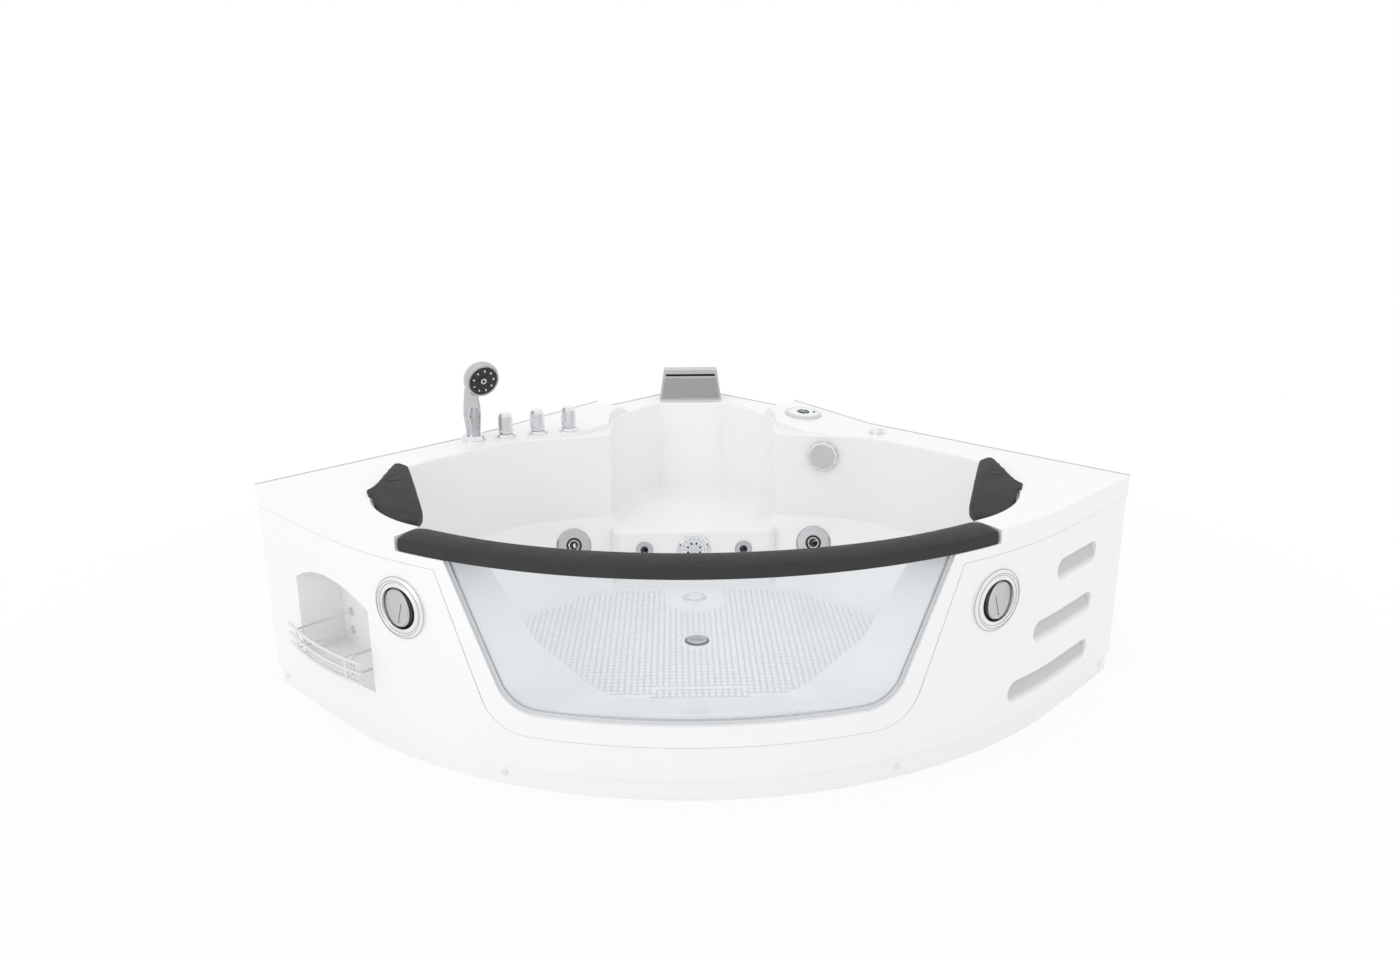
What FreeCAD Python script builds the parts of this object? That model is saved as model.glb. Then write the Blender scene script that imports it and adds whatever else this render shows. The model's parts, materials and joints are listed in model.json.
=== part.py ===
import FreeCAD, Part
import math
import os

# Jetted corner bath with a curved window, in millimetres, +Z up, standing on z = 0.
# The plan is a square against two walls with its room-side corner rounded off. The rear corner
# points to +Y and the window faces -Y. Plan places marked "chord" are measured from the middle
# of the straight line that joins the two side corners.

V = FreeCAD.Vector
UP = V(0, 0, 1)
ROOT2 = math.sqrt(2)

# Overall
SIDE = 1500.0
FRONT_RADIUS = 1188.0
DECK_HEIGHT = 524.0
SHELL = 6.0
RIM_DEPTH = 54.0
SHADOW_GAP = 2.0
EASE = 0.3
HOLE_EASE = 0.5
HOLE_REACH = 40.0
FLANGE_LAP = 7.0

# Bathing well at its mouth, at the crease half way down and at the floor. A land is the flat
# left between the well and the front or the wall.
FLOOR_HEIGHT = 100.0
CREASE_HEIGHT = 285.0
TOP_FRONT_LAND = 76.0
TOP_WALL_LAND = 125.0
TOP_CORNER_RADIUS = 340.0
TOP_BACK_EDGE = 444.0
CREASE_FRONT_LAND = 120.0
CREASE_WALL_LAND = 150.0
CREASE_CORNER_RADIUS = 320.0
CREASE_BACK_EDGE = 436.0
FLOOR_FRONT_LAND = 224.0
FLOOR_WALL_LAND = 285.0
FLOOR_CORNER_RADIUS = 230.0
FLOOR_BACK_EDGE = 360.0
BEND_RADIUS = 140.0
BACK_SLOPE = 13.0
FLOOR_FILLET = 45.0
MOUTH_FILLET = 5.0

# Corner seat
ALCOVE_HALF = 235.0
SEAT_HEIGHT = 258.0
SEAT_FRONT_TOP = 384.0
SEAT_FRONT_FOOT = 346.0
SEAT_CORNER = 30.0
ALCOVE_PANEL_HALF = 97.0
ALCOVE_STRIP = 40.0
ALCOVE_BACK = 835.0
ALCOVE_SIDE = 655.0
BACKREST_RAKE = 78.0
ALCOVE_CORNER = 190.0
ALCOVE_FOOT_FILLET = 40.0
SEAT_FILLET = 14.0

# Raised deck wedges for the taps and the control panel
TAP_WEDGE_START = 600.0
TAP_WEDGE_PEAK = 1089.0
TAP_WEDGE_RISE = 22.0
PANEL_WEDGE_START = 769.0
PANEL_WEDGE_PEAK = 1049.0
PANEL_WEDGE_RISE = 26.0
WEDGE_DROP = 37.0
WEDGE_WIDTH = 215.0
SEAT_MARGIN = 2.5
BOSS_RISE = 1.7

# Window, its surround and the rail on top
WINDOW_TOP_HALF = 530.0
WINDOW_FOOT_HALF = 397.0
WINDOW_SILL = 180.0
WINDOW_CORNER = 85.0
SURROUND_TOP_HALF = 566.0
SURROUND_FOOT_HALF = 437.0
SURROUND_SILL = 125.0
SURROUND_CORNER = 100.0
GLASS = 8.0
GLASS_INSET = 10.0
SEAL_WIDTH = 5.0
SEAL_LAP = 2.5
SEAL_DEPTH = 2.0
SEAL_LIP = 1.0
GLASS_BED = 14.0
REVEAL_FLARE = 1.2
SILL_FALL = 0.35
PAD_WIDTH = 78.0
PAD_HALF_ANGLE = 32.0
PAD_THICK = 34.0
PAD_PROUD = 3.0
PAD_SKIN = 9.0
PAD_CROWN = 6.0
PAD_DRAW = 3.0
CAP_RAIL_WIDTH = 58.0
CAP_RAIL_HEIGHT = 23.0
CAP_RAIL_COVER = 15.0
CAP_RAIL_INSET = 6.0

# Headrest pillows
PILLOW_RISE = 12.0
PILLOW_THICK = 26.0
PILLOW_FALL = 11.0
PILLOW_CROWN = 6.0
PILLOW_CROWN_RADIUS = 1400.0
PILLOW_CLEAR = 4.0
PILLOW_CORNER = 11.0
PILLOW_TIP = (-19.0, 12.0)
PILLOW_BROW = (2.4, -8.6)
PILLOW_REAR_OUT = (24.0, 12.0)
PILLOW_REAR_IN = (21.8, -31.0)
PILLOW_INSIDE = (-31.3, -102.7)
PILLOW_FRONT_IN = (-40.6, -70.7)
PILLOW_FRONT_OUT = (-36.0, -8.0)
PILLOW_UNDER_RIM = (-29.5, -8.0)
PILLOW_NOTCH = (-23.0, -8.0)

# Apron
APRON = 4.0
APRON_INSET = 2.0
PLINTH_HEIGHT = 50.0
PLINTH_INSET = 7.0
APRON_FOOT = 1.0
APRON_LIP = 14.0
NICHE_HALF = 153.0
NICHE_SILL = 133.0
NICHE_SPRING = 330.0
NICHE_CROWN = 371.0
NICHE_DEPTH = 112.0
NICHE_WALL = 3.0
LOUVRE_HEIGHT = 52.0
LOUVRE_START = 150.0
LOUVRE_LENGTHS = (196.0, 278.0, 357.0)
LOUVRE_HEIGHTS = (372.0, 243.0, 118.0)
LOUVRE_DEPTH = 16.0
LOUVRE_LIP = 1.0
LAMP_ANGLE = 32.4
LAMP_UNDER_RIM = 36.0
LAMP_RADIUS = 70.0
LAMP_RIM = 8.0
LAMP_EYE_RADIUS = 47.0
LAMP_RUN = 0.5
LAMP_CUP = 59.0
LAMP_DEPTH = 52.0
LAMP_PIVOT = 16.0
LAMP_TURN = 12.0
LAMP_PROUD = 8.0
LAMP_BACK = 20.0
SCREW_HEIGHT = 27.0
SCREW_END = 42.0
SCREW_ANGLE = 20.7
SCREW_CAP_RADIUS = 7.0
SCREW_RADIUS = 2.4
SCREW_LENGTH = 16.0

# Rack in the niche
RACK_WIRE = 8.0
RACK_POST = 7.0
RACK_STAY = 6.0
RACK_REACH = 40.0
RACK_HALF = 160.0
RACK_SPACING = 24.0
RACK_BARS = 3
RACK_LOW = 170.0
RACK_POST_HALF = 112.0
RACK_BOW = 16.0
RACK_PLATE = 3.0
RACK_FOOT = 10.0

# Waterfall spout
SPOUT_HALF = 98.0
SPOUT_TOP_HALF = 84.0
SPOUT_HEIGHT = 94.0
SPOUT_DEPTH = 66.0
SPOUT_SETBACK = 36.0
SPOUT_LEAN = 16.0
SPOUT_SLOT_HEIGHT = 7.0
SPOUT_SLOT_DEPTH = 40.0
SPOUT_SLOT_TOP = 12.0
SPOUT_FACE = 3.0
SPOUT_INLET_RADIUS = 13.0
SPOUT_TAIL = 45.0
SPOUT_EDGE = 6.0
SPOUT_PASSAGE = 9.0

# Taps and hand shower
TAP_FIRST = 349.0
TAP_PITCH = 87.5
TAP_SETBACK = 38.0
ROSETTE_RADIUS = 29.5
ROSETTE_HEIGHT = 9.0
KNOB_RADIUS = 21.0
KNOB_HEIGHT = 56.0
KNOB_FACETS = 10
SPINDLE_RADIUS = 5.0
SPINDLE_RUN = 0.05
SPINDLE_DEPTH = 30.0
TAP_COUNT = 3
KNOB_GAP = 0.5
VALVE_NECK = 11.0
VALVE_RADIUS = 16.0
VALVE_HEIGHT = 60.0
SUPPLY_RADIUS = 10.478
SUPPLY_LENGTH = 16.0
HOLDER_RADIUS = 34.0
HOLDER_HEIGHT = 14.0
HOLDER_FLOOR = 4.0
HOLDER_TAIL = 16.0
HOLDER_DEPTH = 45.0
HOSE_BORE = 11.0
HOSE_STUB = 9.0
HANDLE_FOOT = 19.0
HANDLE_BELLY = 24.0
HANDLE_NECK = 16.0
HANDLE_LENGTH = 150.0
HEAD_RADIUS = 49.0
HEAD_DEPTH = 40.0
SPRAY_RADIUS = 40.0
SPRAY_THICK = 7.0
SPRAY_RUN = 0.4
HEAD_TURN = 34.0
HEAD_TILT = 16.0
HEAD_SHIFT = 20.0
HEAD_HEIGHT = 181.0
NOZZLE_COUNT = 9
NOZZLE_RADIUS = 2.2
HANDLE_CLEAR = 0.5

# Control panel and air regulator
PANEL_RADIUS = 54.0
PANEL_THICK = 7.0
PANEL_WALL_GAP = 92.0
PANEL_ALONG = 944.0
KEY_COUNT = 5
KEY_INNER = 4.5
KEY_OUTER = 17.5
KEY_GAP = 1.2
KEY_PROUD = 2.0
KEY_DEPTH = 6.0
MODULE_RADIUS = 38.0
MODULE_HEIGHT = 46.0
AIR_ALONG = 691.0
AIR_WALL_GAP = 78.0
AIR_RADIUS = 20.0
AIR_BODY_RADIUS = 15.0
AIR_KNOB_HEIGHT = 9.0
AIR_BODY_HEIGHT = 60.0
AIR_NECK = 12.0
AIR_FLANGE = 2.0
AIR_STEM = 4.0
AIR_STEM_DEPTH = 18.0

# Overflow, drain and floor lamp
OVERFLOW_X = 364.0
OVERFLOW_HEIGHT = 466.0
OVERFLOW_RADIUS = 42.0
OVERFLOW_KNOB_DEPTH = 14.0
OVERFLOW_BODY_RADIUS = 26.0
OVERFLOW_BODY_DEPTH = 38.0
OVERFLOW_FACETS = 10
OVERFLOW_FLANGE = 3.0
OVERFLOW_GAP = 3.0
OVERFLOW_STEM = 6.0
OVERFLOW_STEM_DEPTH = 22.0
DRAIN_Y = -7.0
DRAIN_RADIUS = 32.0
DRAIN_BORE = 22.0
DRAIN_WALL = 3.0
DRAIN_FLANGE = 2.0
DRAIN_FOOT = 8.0
DRAIN_HUB = 8.0
DRAIN_RIB = 3.0
PLUG_RADIUS = 26.0
PLUG_THICK = 5.0
PLUG_STEM = 4.0
PLUG_STEM_DEPTH = 60.0
TRAP_RADIUS = 18.0
SPIGOT_RADIUS = 20.0
SPIGOT_LENGTH = 50.0
TRAP_HEIGHT = 31.0
TRAP_END = 905.0
TRAP_WALL = 3.0
TRAP_POT_Y = 125.0
TRAP_POT_RADIUS = 42.0
FLOOR_LAMP_Y = 271.0
FLOOR_LAMP_RADIUS = 33.0
FLOOR_LAMP_DEPTH = 34.0
FLOOR_LENS_RADIUS = 24.0
FLOOR_LAMP_FLANGE = 3.0

# Jets and suction
BIG_JET_X = 340.0
BIG_JET_HEIGHT = 216.0
BIG_JET_RADIUS = 49.0
SMALL_JET_X = 140.0
SMALL_JET_HEIGHT = 205.0
SMALL_JET_RADIUS = 24.0
JET_FLANGE = 5.0
JET_BODY_DEPTH = 80.0
JET_BARREL = 0.62
JET_NOZZLE = 0.44
JET_PASSAGE = 0.25
JET_NOZZLE_DEPTH = 16.0
JET_RUN = 0.5
SUCTION_HEIGHT = 205.0
SUCTION_RADIUS = 47.0
SUCTION_BODY_RADIUS = 31.0
SUCTION_BODY_DEPTH = 44.0
SUCTION_FLANGE = 4.0
SUCTION_COVER = 6.0
SUCTION_SLOTS = 8

# Frame and feet
BEAM = 30.0
BEAM_WALL = 2.0
FRAME_HEIGHT = 55.0
FRAME_FRONT = -220.0
FRAME_BACK = 60.0
FRAME_REAR = 640.0
FRAME_RAIL_X = 300.0
FRAME_FRONT_HALF = 750.0
FRAME_BACK_HALF = 930.0
FRAME_REAR_HALF = 345.0
FRAME_RAIL_FRONT = -380.0
REAR_RAIL_X = 70.0
REAR_POST_Y = 935.0
PUMP_RAIL_X = 715.0
PUMP_RAIL_END = 240.0
FLOOR_PAD = 60.0
FOOT_RADIUS = 25.0
FOOT_PAD = 12.0
FOOT_ROD = 6.0
NUT_HEIGHT = 9.0
NUT_FLAT = 19.0
ROD_TOP = 72.0

# Pump
PUMP_WALL_GAP = 110.0
PUMP_START = 175.0
VOLUTE_RADIUS = 66.0
VOLUTE_DEPTH = 74.0
MOTOR_RADIUS = 60.0
MOTOR_DEPTH = 190.0
PUMP_WALL = 5.0
SHAFT_RADIUS = 8.0
SHAFT_RUN = 0.05
IMPELLER_RADIUS = 46.0
IMPELLER_DEPTH = 22.0
ROTOR_RADIUS = 34.0
FAN_RADIUS = 48.0
PUMP_PLATE = 5.0
GLAND_RADIUS = 8.0
TERMINAL_BOX = 50.0
PUMP_OUTLET_RISE = 14.0
PIPE_WALL = 2.5
PIPE_BEND = 34.0
SUCTION_PIPE = 24.0
PRESSURE_PIPE = 16.0
AIR_PIPE = 9.0
COPPER_PIPE = 7.5
CABLE_RADIUS = 3.0
OVERFLOW_PIPE = 16.0
FILL_WALL_GAP = 50.0
SUCTION_WALL_GAP = 50.0
PRESSURE_WALL_GAP = 104.0
PRESSURE_LEVEL = 118.0
PRESSURE_ROW = 520.0
PRESSURE_RISE = 262.0
JET_STUB = 11.0
JET_STUB_RUN = 30.0
AIR_LEVEL = 240.0
AIR_ROW = 437.0
AIR_STUB = 6.0
AIR_HIGH = 400.0

# Places that follow from the sizes above
HALF_DIAGONAL = SIDE / ROOT2
APEX = -HALF_DIAGONAL + FRONT_RADIUS * (ROOT2 - 1)
CHORD_Y = -(HALF_DIAGONAL + APEX) / 2
ARC_CENTRE = -HALF_DIAGONAL + FRONT_RADIUS * ROOT2
BACK_TAN = math.tan(math.radians(BACK_SLOPE))
DECK_UNDER = DECK_HEIGHT - SHELL
PAD_SEAT = DECK_HEIGHT + PAD_PROUD - PAD_THICK
CAP_RAIL_TOP = PAD_SEAT + CAP_RAIL_HEIGHT
GLASS_TOP = PAD_SEAT + CAP_RAIL_COVER
RIM_FOOT = DECK_HEIGHT - RIM_DEPTH
LAMP_HEIGHT = RIM_FOOT - LAMP_UNDER_RIM - LAMP_RADIUS
GLASS_BACK = FRONT_RADIUS - GLASS_INSET - GLASS - SEAL_DEPTH
FRAME_TOP = FRAME_HEIGHT + BEAM
PUMP_AXIS = FRAME_TOP + PUMP_PLATE + VOLUTE_RADIUS
PUMP_LENGTH = MOTOR_DEPTH + VOLUTE_DEPTH
FAR = 2 * SIDE


def plan(x, y, z=0.0):
    """A point given by its place from the chord."""
    return V(x, CHORD_Y + y, z)


def line(a, b):
    return Part.LineSegment(a, b).toShape()


def arc(a, mid, b):
    return Part.Arc(a, mid, b).toShape()


def prism(wire, height):
    return Part.Face(wire).extrude(V(0, 0, height))


def fuse(shapes):
    body = shapes[0]
    if len(shapes) > 1:
        body = body.multiFuse(shapes[1:])
    return body.removeSplitter()


def cylinder(radius, height, base=V(0, 0, 0), axis=UP):
    return Part.makeCylinder(radius, height, base, axis)


def ring(outer, inner, height, base=V(0, 0, 0)):
    return cylinder(outer, height, base).cut(cylinder(inner, height, base))


def block(x0, x1, y0, y1, z0, z1):
    """A box between chord-frame corners."""
    return Part.makeBox(x1 - x0, y1 - y0, z1 - z0, plan(x0, y0, z0))


def placed(shape, origin, axis, face=None):
    """Turn a shape built along +Z so that it points along axis, with +X towards face."""
    z = V(axis).normalize()
    x = V(face) if face else (UP.cross(z) if abs(z.z) < 0.99 else V(1, 0, 0))
    y = z.cross(x).normalize()
    x = y.cross(z)
    turn = FreeCAD.Matrix(x.x, y.x, z.x, origin.x, x.y, y.y, z.y, origin.y, x.z, y.z, z.z, origin.z)
    copy = shape.copy()
    copy.Placement = FreeCAD.Placement(turn).multiply(copy.Placement)
    return copy


def turned(points):
    """A solid turned about Z from (radius, height) points."""
    spots = [V(radius, 0, height) for radius, height in points]
    edges = [line(a, b) for a, b in zip(spots, spots[1:] + spots[:1])]
    return Part.Face(Part.Wire(edges)).revolve(V(0, 0, 0), UP, 360)


def polygon_bar(levels, sides):
    """A many-sided bar through (radius, height) levels."""
    wires = []
    for radius, height in levels:
        spots = [V(radius * math.cos(2 * math.pi * i / sides),
            radius * math.sin(2 * math.pi * i / sides), height) for i in range(sides)]
        wires.append(Part.makePolygon(spots + spots[:1]))
    return Part.makeLoft(wires, True, True)


def bent_rod(points, radius, bend):
    """A round rod along straight runs joined by arcs of one bend radius."""
    edges = []
    start = points[0]
    for before, here, after in zip(points, points[1:], points[2:]):
        back = (before - here).normalize()
        ahead = (after - here).normalize()
        half = back.getAngle(ahead) / 2
        cut = bend / math.tan(half)
        enter, leave = here + back * cut, here + ahead * cut
        middle = here + (back + ahead).normalize() * (bend / math.sin(half) - bend)
        edges += [line(start, enter), arc(enter, middle, leave)]
        start = leave
    edges.append(line(start, points[-1]))
    path = Part.Wire(edges)
    section = Part.Wire(Part.Circle(points[0], points[1] - points[0], radius).toShape())
    return path.makePipeShell([section], True, False)


def rounded(points, radii):
    """A closed wire of straight sides whose corners are rounded by arcs."""
    count = len(points)
    starts, mids, ends = [], [], []
    for i in range(count):
        here = points[i]
        back = (points[i - 1] - here).normalize()
        ahead = (points[(i + 1) % count] - here).normalize()
        half = back.getAngle(ahead) / 2
        cut = radii[i] / math.tan(half) if radii[i] else 0.0
        starts.append(here + back * cut)
        ends.append(here + ahead * cut)
        middle = (back + ahead).normalize()
        mids.append(here + middle * (radii[i] / math.sin(half) - radii[i]))
    edges = []
    for i in range(count):
        if radii[i]:
            edges.append(arc(starts[i], mids[i], ends[i]))
        edges.append(line(ends[i], starts[(i + 1) % count]))
    return Part.Wire(edges)


def sector(inner, outer, start, end, z0, z1):
    """A piece of ring about the front curve's centre; angles run from the window's middle to +X."""
    def spot(r, degrees):
        a = math.radians(degrees)
        return plan(r * math.sin(a), ARC_CENTRE - r * math.cos(a), z0)
    middle = (start + end) / 2
    wire = Part.Wire([
        arc(spot(outer, start), spot(outer, middle), spot(outer, end)),
        line(spot(outer, end), spot(inner, end)),
        arc(spot(inner, end), spot(inner, middle), spot(inner, start)),
        line(spot(inner, start), spot(outer, start))])
    return prism(wire, z1 - z0)


def front_spot(degrees, inset, z):
    """A point on the front curve and the direction that points out of the room side there."""
    a = math.radians(degrees)
    out = V(math.sin(a), -math.cos(a), 0)
    return plan(0, ARC_CENTRE, z) + out * (FRONT_RADIUS - inset), out


def deck_outline(inset, z=0.0):
    """The plan outline of deck and apron, drawn in by inset."""
    d = HALF_DIAGONAL - inset * ROOT2
    r = FRONT_RADIUS - inset
    side = r / ROOT2
    left, rear, right = plan(-d, 0, z), plan(0, d, z), plan(d, 0, z)
    from_left = plan(-side, ARC_CENTRE - side, z)
    to_right = plan(side, ARC_CENTRE - side, z)
    front = plan(0, ARC_CENTRE - r, z)
    return Part.Wire([line(rear, left), line(left, from_left), arc(from_left, front, to_right),
                      line(to_right, right), line(right, rear)])


def along_wall(side, along, gap, z=0.0):
    """A point beside a wall: along it from the side corner, gap away from it. side is -1 or 1."""
    x = HALF_DIAGONAL - (along + gap) / ROOT2
    y = (along - gap) / ROOT2
    return plan(side * x, y, z)


def along_front(side, along, z=0.0):
    """A point on a straight end of the front, measured from the side corner."""
    return plan(side * (HALF_DIAGONAL - along / ROOT2), -along / ROOT2, z)


# The bathing well

def round_end(front_land, wall_land, corner, grow):
    """The centre of the arc that joins the well's curved front to its straight wall side."""
    reach = HALF_DIAGONAL - (wall_land - grow) * ROOT2
    inner = reach - (corner + grow) * ROOT2 - ARC_CENTRE
    slack = FRONT_RADIUS - front_land - corner
    cx = (inner + math.sqrt(2 * slack ** 2 - inner ** 2)) / 2
    return cx, inner + ARC_CENTRE - cx


def well_outline(front_land, wall_land, corner, back_edge, z, grow):
    """Plan of the well at one height, made larger all round by grow."""
    r = FRONT_RADIUS - front_land + grow
    cx, cy = round_end(front_land, wall_land, corner, grow)
    corner = corner + grow
    bend = BEND_RADIUS + grow
    reach = HALF_DIAGONAL - (wall_land - grow) * ROOT2
    back = back_edge + grow / math.cos(math.radians(BACK_SLOPE)) + BACK_TAN * ALCOVE_HALF
    to_corner = V(cx, cy - ARC_CENTRE, 0).normalize()
    vertex_x = (reach - back) / (1 - BACK_TAN)
    vertex_y = reach - vertex_x
    tangent = bend * math.tan(math.radians((45 - BACK_SLOPE) / 2))
    slope = math.radians(BACK_SLOPE)
    bend_low = (vertex_x + tangent / ROOT2, vertex_y - tangent / ROOT2)
    bend_high = (vertex_x - tangent * math.cos(slope), vertex_y + tangent * math.sin(slope))
    bend_centre = (bend_low[0] - bend / ROOT2, bend_low[1] - bend / ROOT2)
    outward = V(vertex_x - bend_centre[0], vertex_y - bend_centre[1], 0).normalize()
    corner_out = (to_corner + V(1, 1, 0) / ROOT2).normalize()

    def half(side):
        def p(x, y):
            return plan(side * x, y, z)
        front = p(to_corner.x * r, ARC_CENTRE + to_corner.y * r)
        corner_mid = p(cx + corner_out.x * corner, cy + corner_out.y * corner)
        corner_end = p(cx + corner / ROOT2, cy + corner / ROOT2)
        low, high = p(*bend_low), p(*bend_high)
        bend_mid = p(bend_centre[0] + outward.x * bend, bend_centre[1] + outward.y * bend)
        return front, [(front, corner_mid, corner_end), (corner_end, low), (low, bend_mid, high)], high

    right_front, right_runs, right_end = half(1)
    left_front, left_runs, left_end = half(-1)
    top = plan(0, back, z)
    edges = [arc(left_front, plan(0, ARC_CENTRE - r, z), right_front)]
    for run in right_runs:
        edges.append(arc(*run) if len(run) == 3 else line(*run))
    edges += [line(right_end, top), line(top, left_end)]
    for run in reversed(left_runs):
        edges.append(arc(*reversed(run)) if len(run) == 3 else line(*reversed(run)))
    return Part.Wire(edges)


def well(grow, top):
    """The bathing well as a solid; its upper part stands straight up to top."""
    floor = (FLOOR_FRONT_LAND, FLOOR_WALL_LAND, FLOOR_CORNER_RADIUS, FLOOR_BACK_EDGE)
    crease = (CREASE_FRONT_LAND, CREASE_WALL_LAND, CREASE_CORNER_RADIUS, CREASE_BACK_EDGE)
    mouth = (TOP_FRONT_LAND, TOP_WALL_LAND, TOP_CORNER_RADIUS, TOP_BACK_EDGE)
    rows = [(*floor, FLOOR_HEIGHT - grow), (*crease, CREASE_HEIGHT), (*mouth, DECK_HEIGHT)]
    if top > DECK_HEIGHT:
        rows.append((*mouth, top))
    wires = [well_outline(*row, grow) for row in rows]
    body = Part.makeLoft(wires, True, True)
    low = [e for e in body.Edges if e.BoundBox.ZMax < FLOOR_HEIGHT - grow + 1]
    return body.makeFillet(FLOOR_FILLET + grow, low)


def alcove(grow, top):
    """The recess over the corner seat."""
    def outline(rake, z):
        half, back, side = ALCOVE_HALF + grow, ALCOVE_BACK + grow - rake, ALCOVE_SIDE - rake
        panel = ALCOVE_PANEL_HALF + grow / 2
        strip = panel + ALCOVE_STRIP
        front = SEAT_FRONT_FOOT - ALCOVE_STRIP
        right = [(half, front), (half, side), (strip, back - ALCOVE_STRIP), (panel, back)]
        spots = [plan(x, y, z) for x, y in right] + [plan(-x, y, z) for x, y in reversed(right)]
        corner = ALCOVE_CORNER + grow
        return rounded(spots, [0, corner, 0, 0, 0, 0, corner, 0])
    seat = SEAT_HEIGHT - grow
    wires = [outline(BACKREST_RAKE, seat), outline(0.0, DECK_HEIGHT)]
    if top > DECK_HEIGHT:
        wires.append(outline(0.0, top))
    recess = Part.makeLoft(wires, True, True)
    behind = CHORD_Y + SEAT_FRONT_FOOT
    foot = [e for e in recess.Edges if e.BoundBox.ZMax < seat + 1 and e.CenterOfMass.y > behind]
    return recess.makeFillet(ALCOVE_FOOT_FILLET + grow, foot)


def seat_block(shrink):
    """The seat that stands in the well; shrunk, it is the hollow beneath it."""
    def outline(front, z):
        half = ALCOVE_HALF - shrink
        front = front + shrink
        spots = [plan(-half, front, z), plan(half, front, z), plan(half, ALCOVE_BACK, z),
            plan(-half, ALCOVE_BACK, z)]
        return rounded(spots, [SEAT_CORNER, SEAT_CORNER, 0, 0])
    fall = (SEAT_FRONT_TOP - SEAT_FRONT_FOOT) / (SEAT_HEIGHT - FLOOR_HEIGHT)
    low = FLOOR_HEIGHT - 2 * SHELL
    high = SEAT_HEIGHT - shrink
    foot = SEAT_FRONT_TOP - fall * (SEAT_HEIGHT - low)
    head = SEAT_FRONT_TOP - fall * shrink
    return Part.makeLoft([outline(foot, low), outline(head, high)], True, True)


def bath_space(grow, top):
    return well(grow, top).cut(seat_block(grow)).fuse(alcove(grow, top))


# The window

def window_wire(top_half, foot_half, sill, corner, y, top, z_top=None):
    """A window-shaped outline on an upright plane; its sides run on up to the given top."""
    lean = (top_half - foot_half) / (top - sill)
    high = z_top if z_top else top
    head = foot_half + lean * (high - sill)
    spots = [plan(-head, y, high), plan(-foot_half, y, sill), plan(foot_half, y, sill),
        plan(head, y, high)]
    return rounded(spots, [0, corner, corner, 0])


def window_prism(spread, sill_drop, z_top):
    """The glass outline as a cutter along Y, spread sideways and dropped at the sill."""
    wire = window_wire(WINDOW_TOP_HALF + spread, WINDOW_FOOT_HALF + spread, WINDOW_SILL - sill_drop,
                       WINDOW_CORNER + spread, APEX - SIDE / 10, DECK_HEIGHT, z_top)
    return Part.Face(wire).extrude(V(0, SIDE / 2, 0))


def surround_prism(shrink, z_top):
    wire = window_wire(SURROUND_TOP_HALF - shrink, SURROUND_FOOT_HALF - shrink, SURROUND_SILL + shrink,
                       SURROUND_CORNER - shrink, APEX - SIDE / 10, DECK_HEIGHT, z_top)
    return Part.Face(wire).extrude(V(0, SIDE / 2, 0))


def reveal(grow, z_top):
    """The splayed opening behind the glass, from the glass bed in to the well."""
    bed = GLASS_BACK
    edge = math.sqrt(bed ** 2 - WINDOW_TOP_HALF ** 2)
    foot_edge = math.sqrt(bed ** 2 - WINDOW_FOOT_HALF ** 2)

    def wire(y):
        depth = y - ARC_CENTRE
        top_half = WINDOW_TOP_HALF - GLASS_BED - REVEAL_FLARE * (depth + edge) + grow
        foot_half = WINDOW_FOOT_HALF - GLASS_BED - REVEAL_FLARE * (depth + foot_edge) + grow
        sill = WINDOW_SILL + GLASS_BED - SILL_FALL * (depth + bed) - grow
        return window_wire(top_half, foot_half, sill, WINDOW_CORNER, y, DECK_HEIGHT, z_top)
    near, deep = ARC_CENTRE - FRONT_RADIUS, ARC_CENTRE - edge + PAD_WIDTH * 2
    return Part.makeLoft([wire(near), wire(deep)], True, True)


def front_drum(radius):
    """Everything within a radius of the front curve's axis."""
    return cylinder(radius, DECK_HEIGHT * 2, plan(0, ARC_CENTRE, -SHELL))


# Deck wedges, in the wall's own direction

def deck_wedge(side, start, peak, rise):
    top = [(start, 0.0), (peak, rise), (peak + WEDGE_DROP, 0.0)]
    low = DECK_UNDER
    profile = [along_wall(side, a, 0, DECK_HEIGHT + h) for a, h in top]
    profile += [along_wall(side, a, 0, low) for a, _ in (top[-1], top[0])]
    edges = [line(a, b) for a, b in zip(profile, profile[1:] + profile[:1])]
    inward = (along_wall(side, 0, WEDGE_WIDTH) - along_wall(side, 0, 0))
    return Part.Face(Part.Wire(edges)).extrude(inward)


def wedge_height(start, peak, rise, along):
    return DECK_HEIGHT + rise * min(max((along - start) / (peak - start), 0.0), 1.0)


# Where the fittings stand on the deck

def tap_spot(number):
    """Taps stand in a row behind the well's back edge; number 0 is nearest the corner seat."""
    x = TAP_FIRST + number * TAP_PITCH * math.cos(math.radians(BACK_SLOPE))
    y = TOP_BACK_EDGE + TAP_SETBACK / math.cos(math.radians(BACK_SLOPE)) - BACK_TAN * (x - ALCOVE_HALF)
    along = (HALF_DIAGONAL - x + y) / ROOT2
    z = wedge_height(TAP_WEDGE_START, TAP_WEDGE_PEAK, TAP_WEDGE_RISE, along) + BOSS_RISE
    return plan(-x, y, z)


def panel_spot():
    z = wedge_height(PANEL_WEDGE_START, PANEL_WEDGE_PEAK, PANEL_WEDGE_RISE, PANEL_ALONG)
    return along_wall(1, PANEL_ALONG, PANEL_WALL_GAP, z)


def panel_axis():
    """Square to the sloping wedge the panel lies on."""
    slope = PANEL_WEDGE_RISE / (PANEL_WEDGE_PEAK - PANEL_WEDGE_START)
    uphill = along_wall(1, 1.0, 0.0) - along_wall(1, 0.0, 0.0)
    return (UP - uphill * slope).normalize()


def air_spot():
    return along_wall(1, AIR_ALONG, AIR_WALL_GAP, DECK_HEIGHT)


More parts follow.
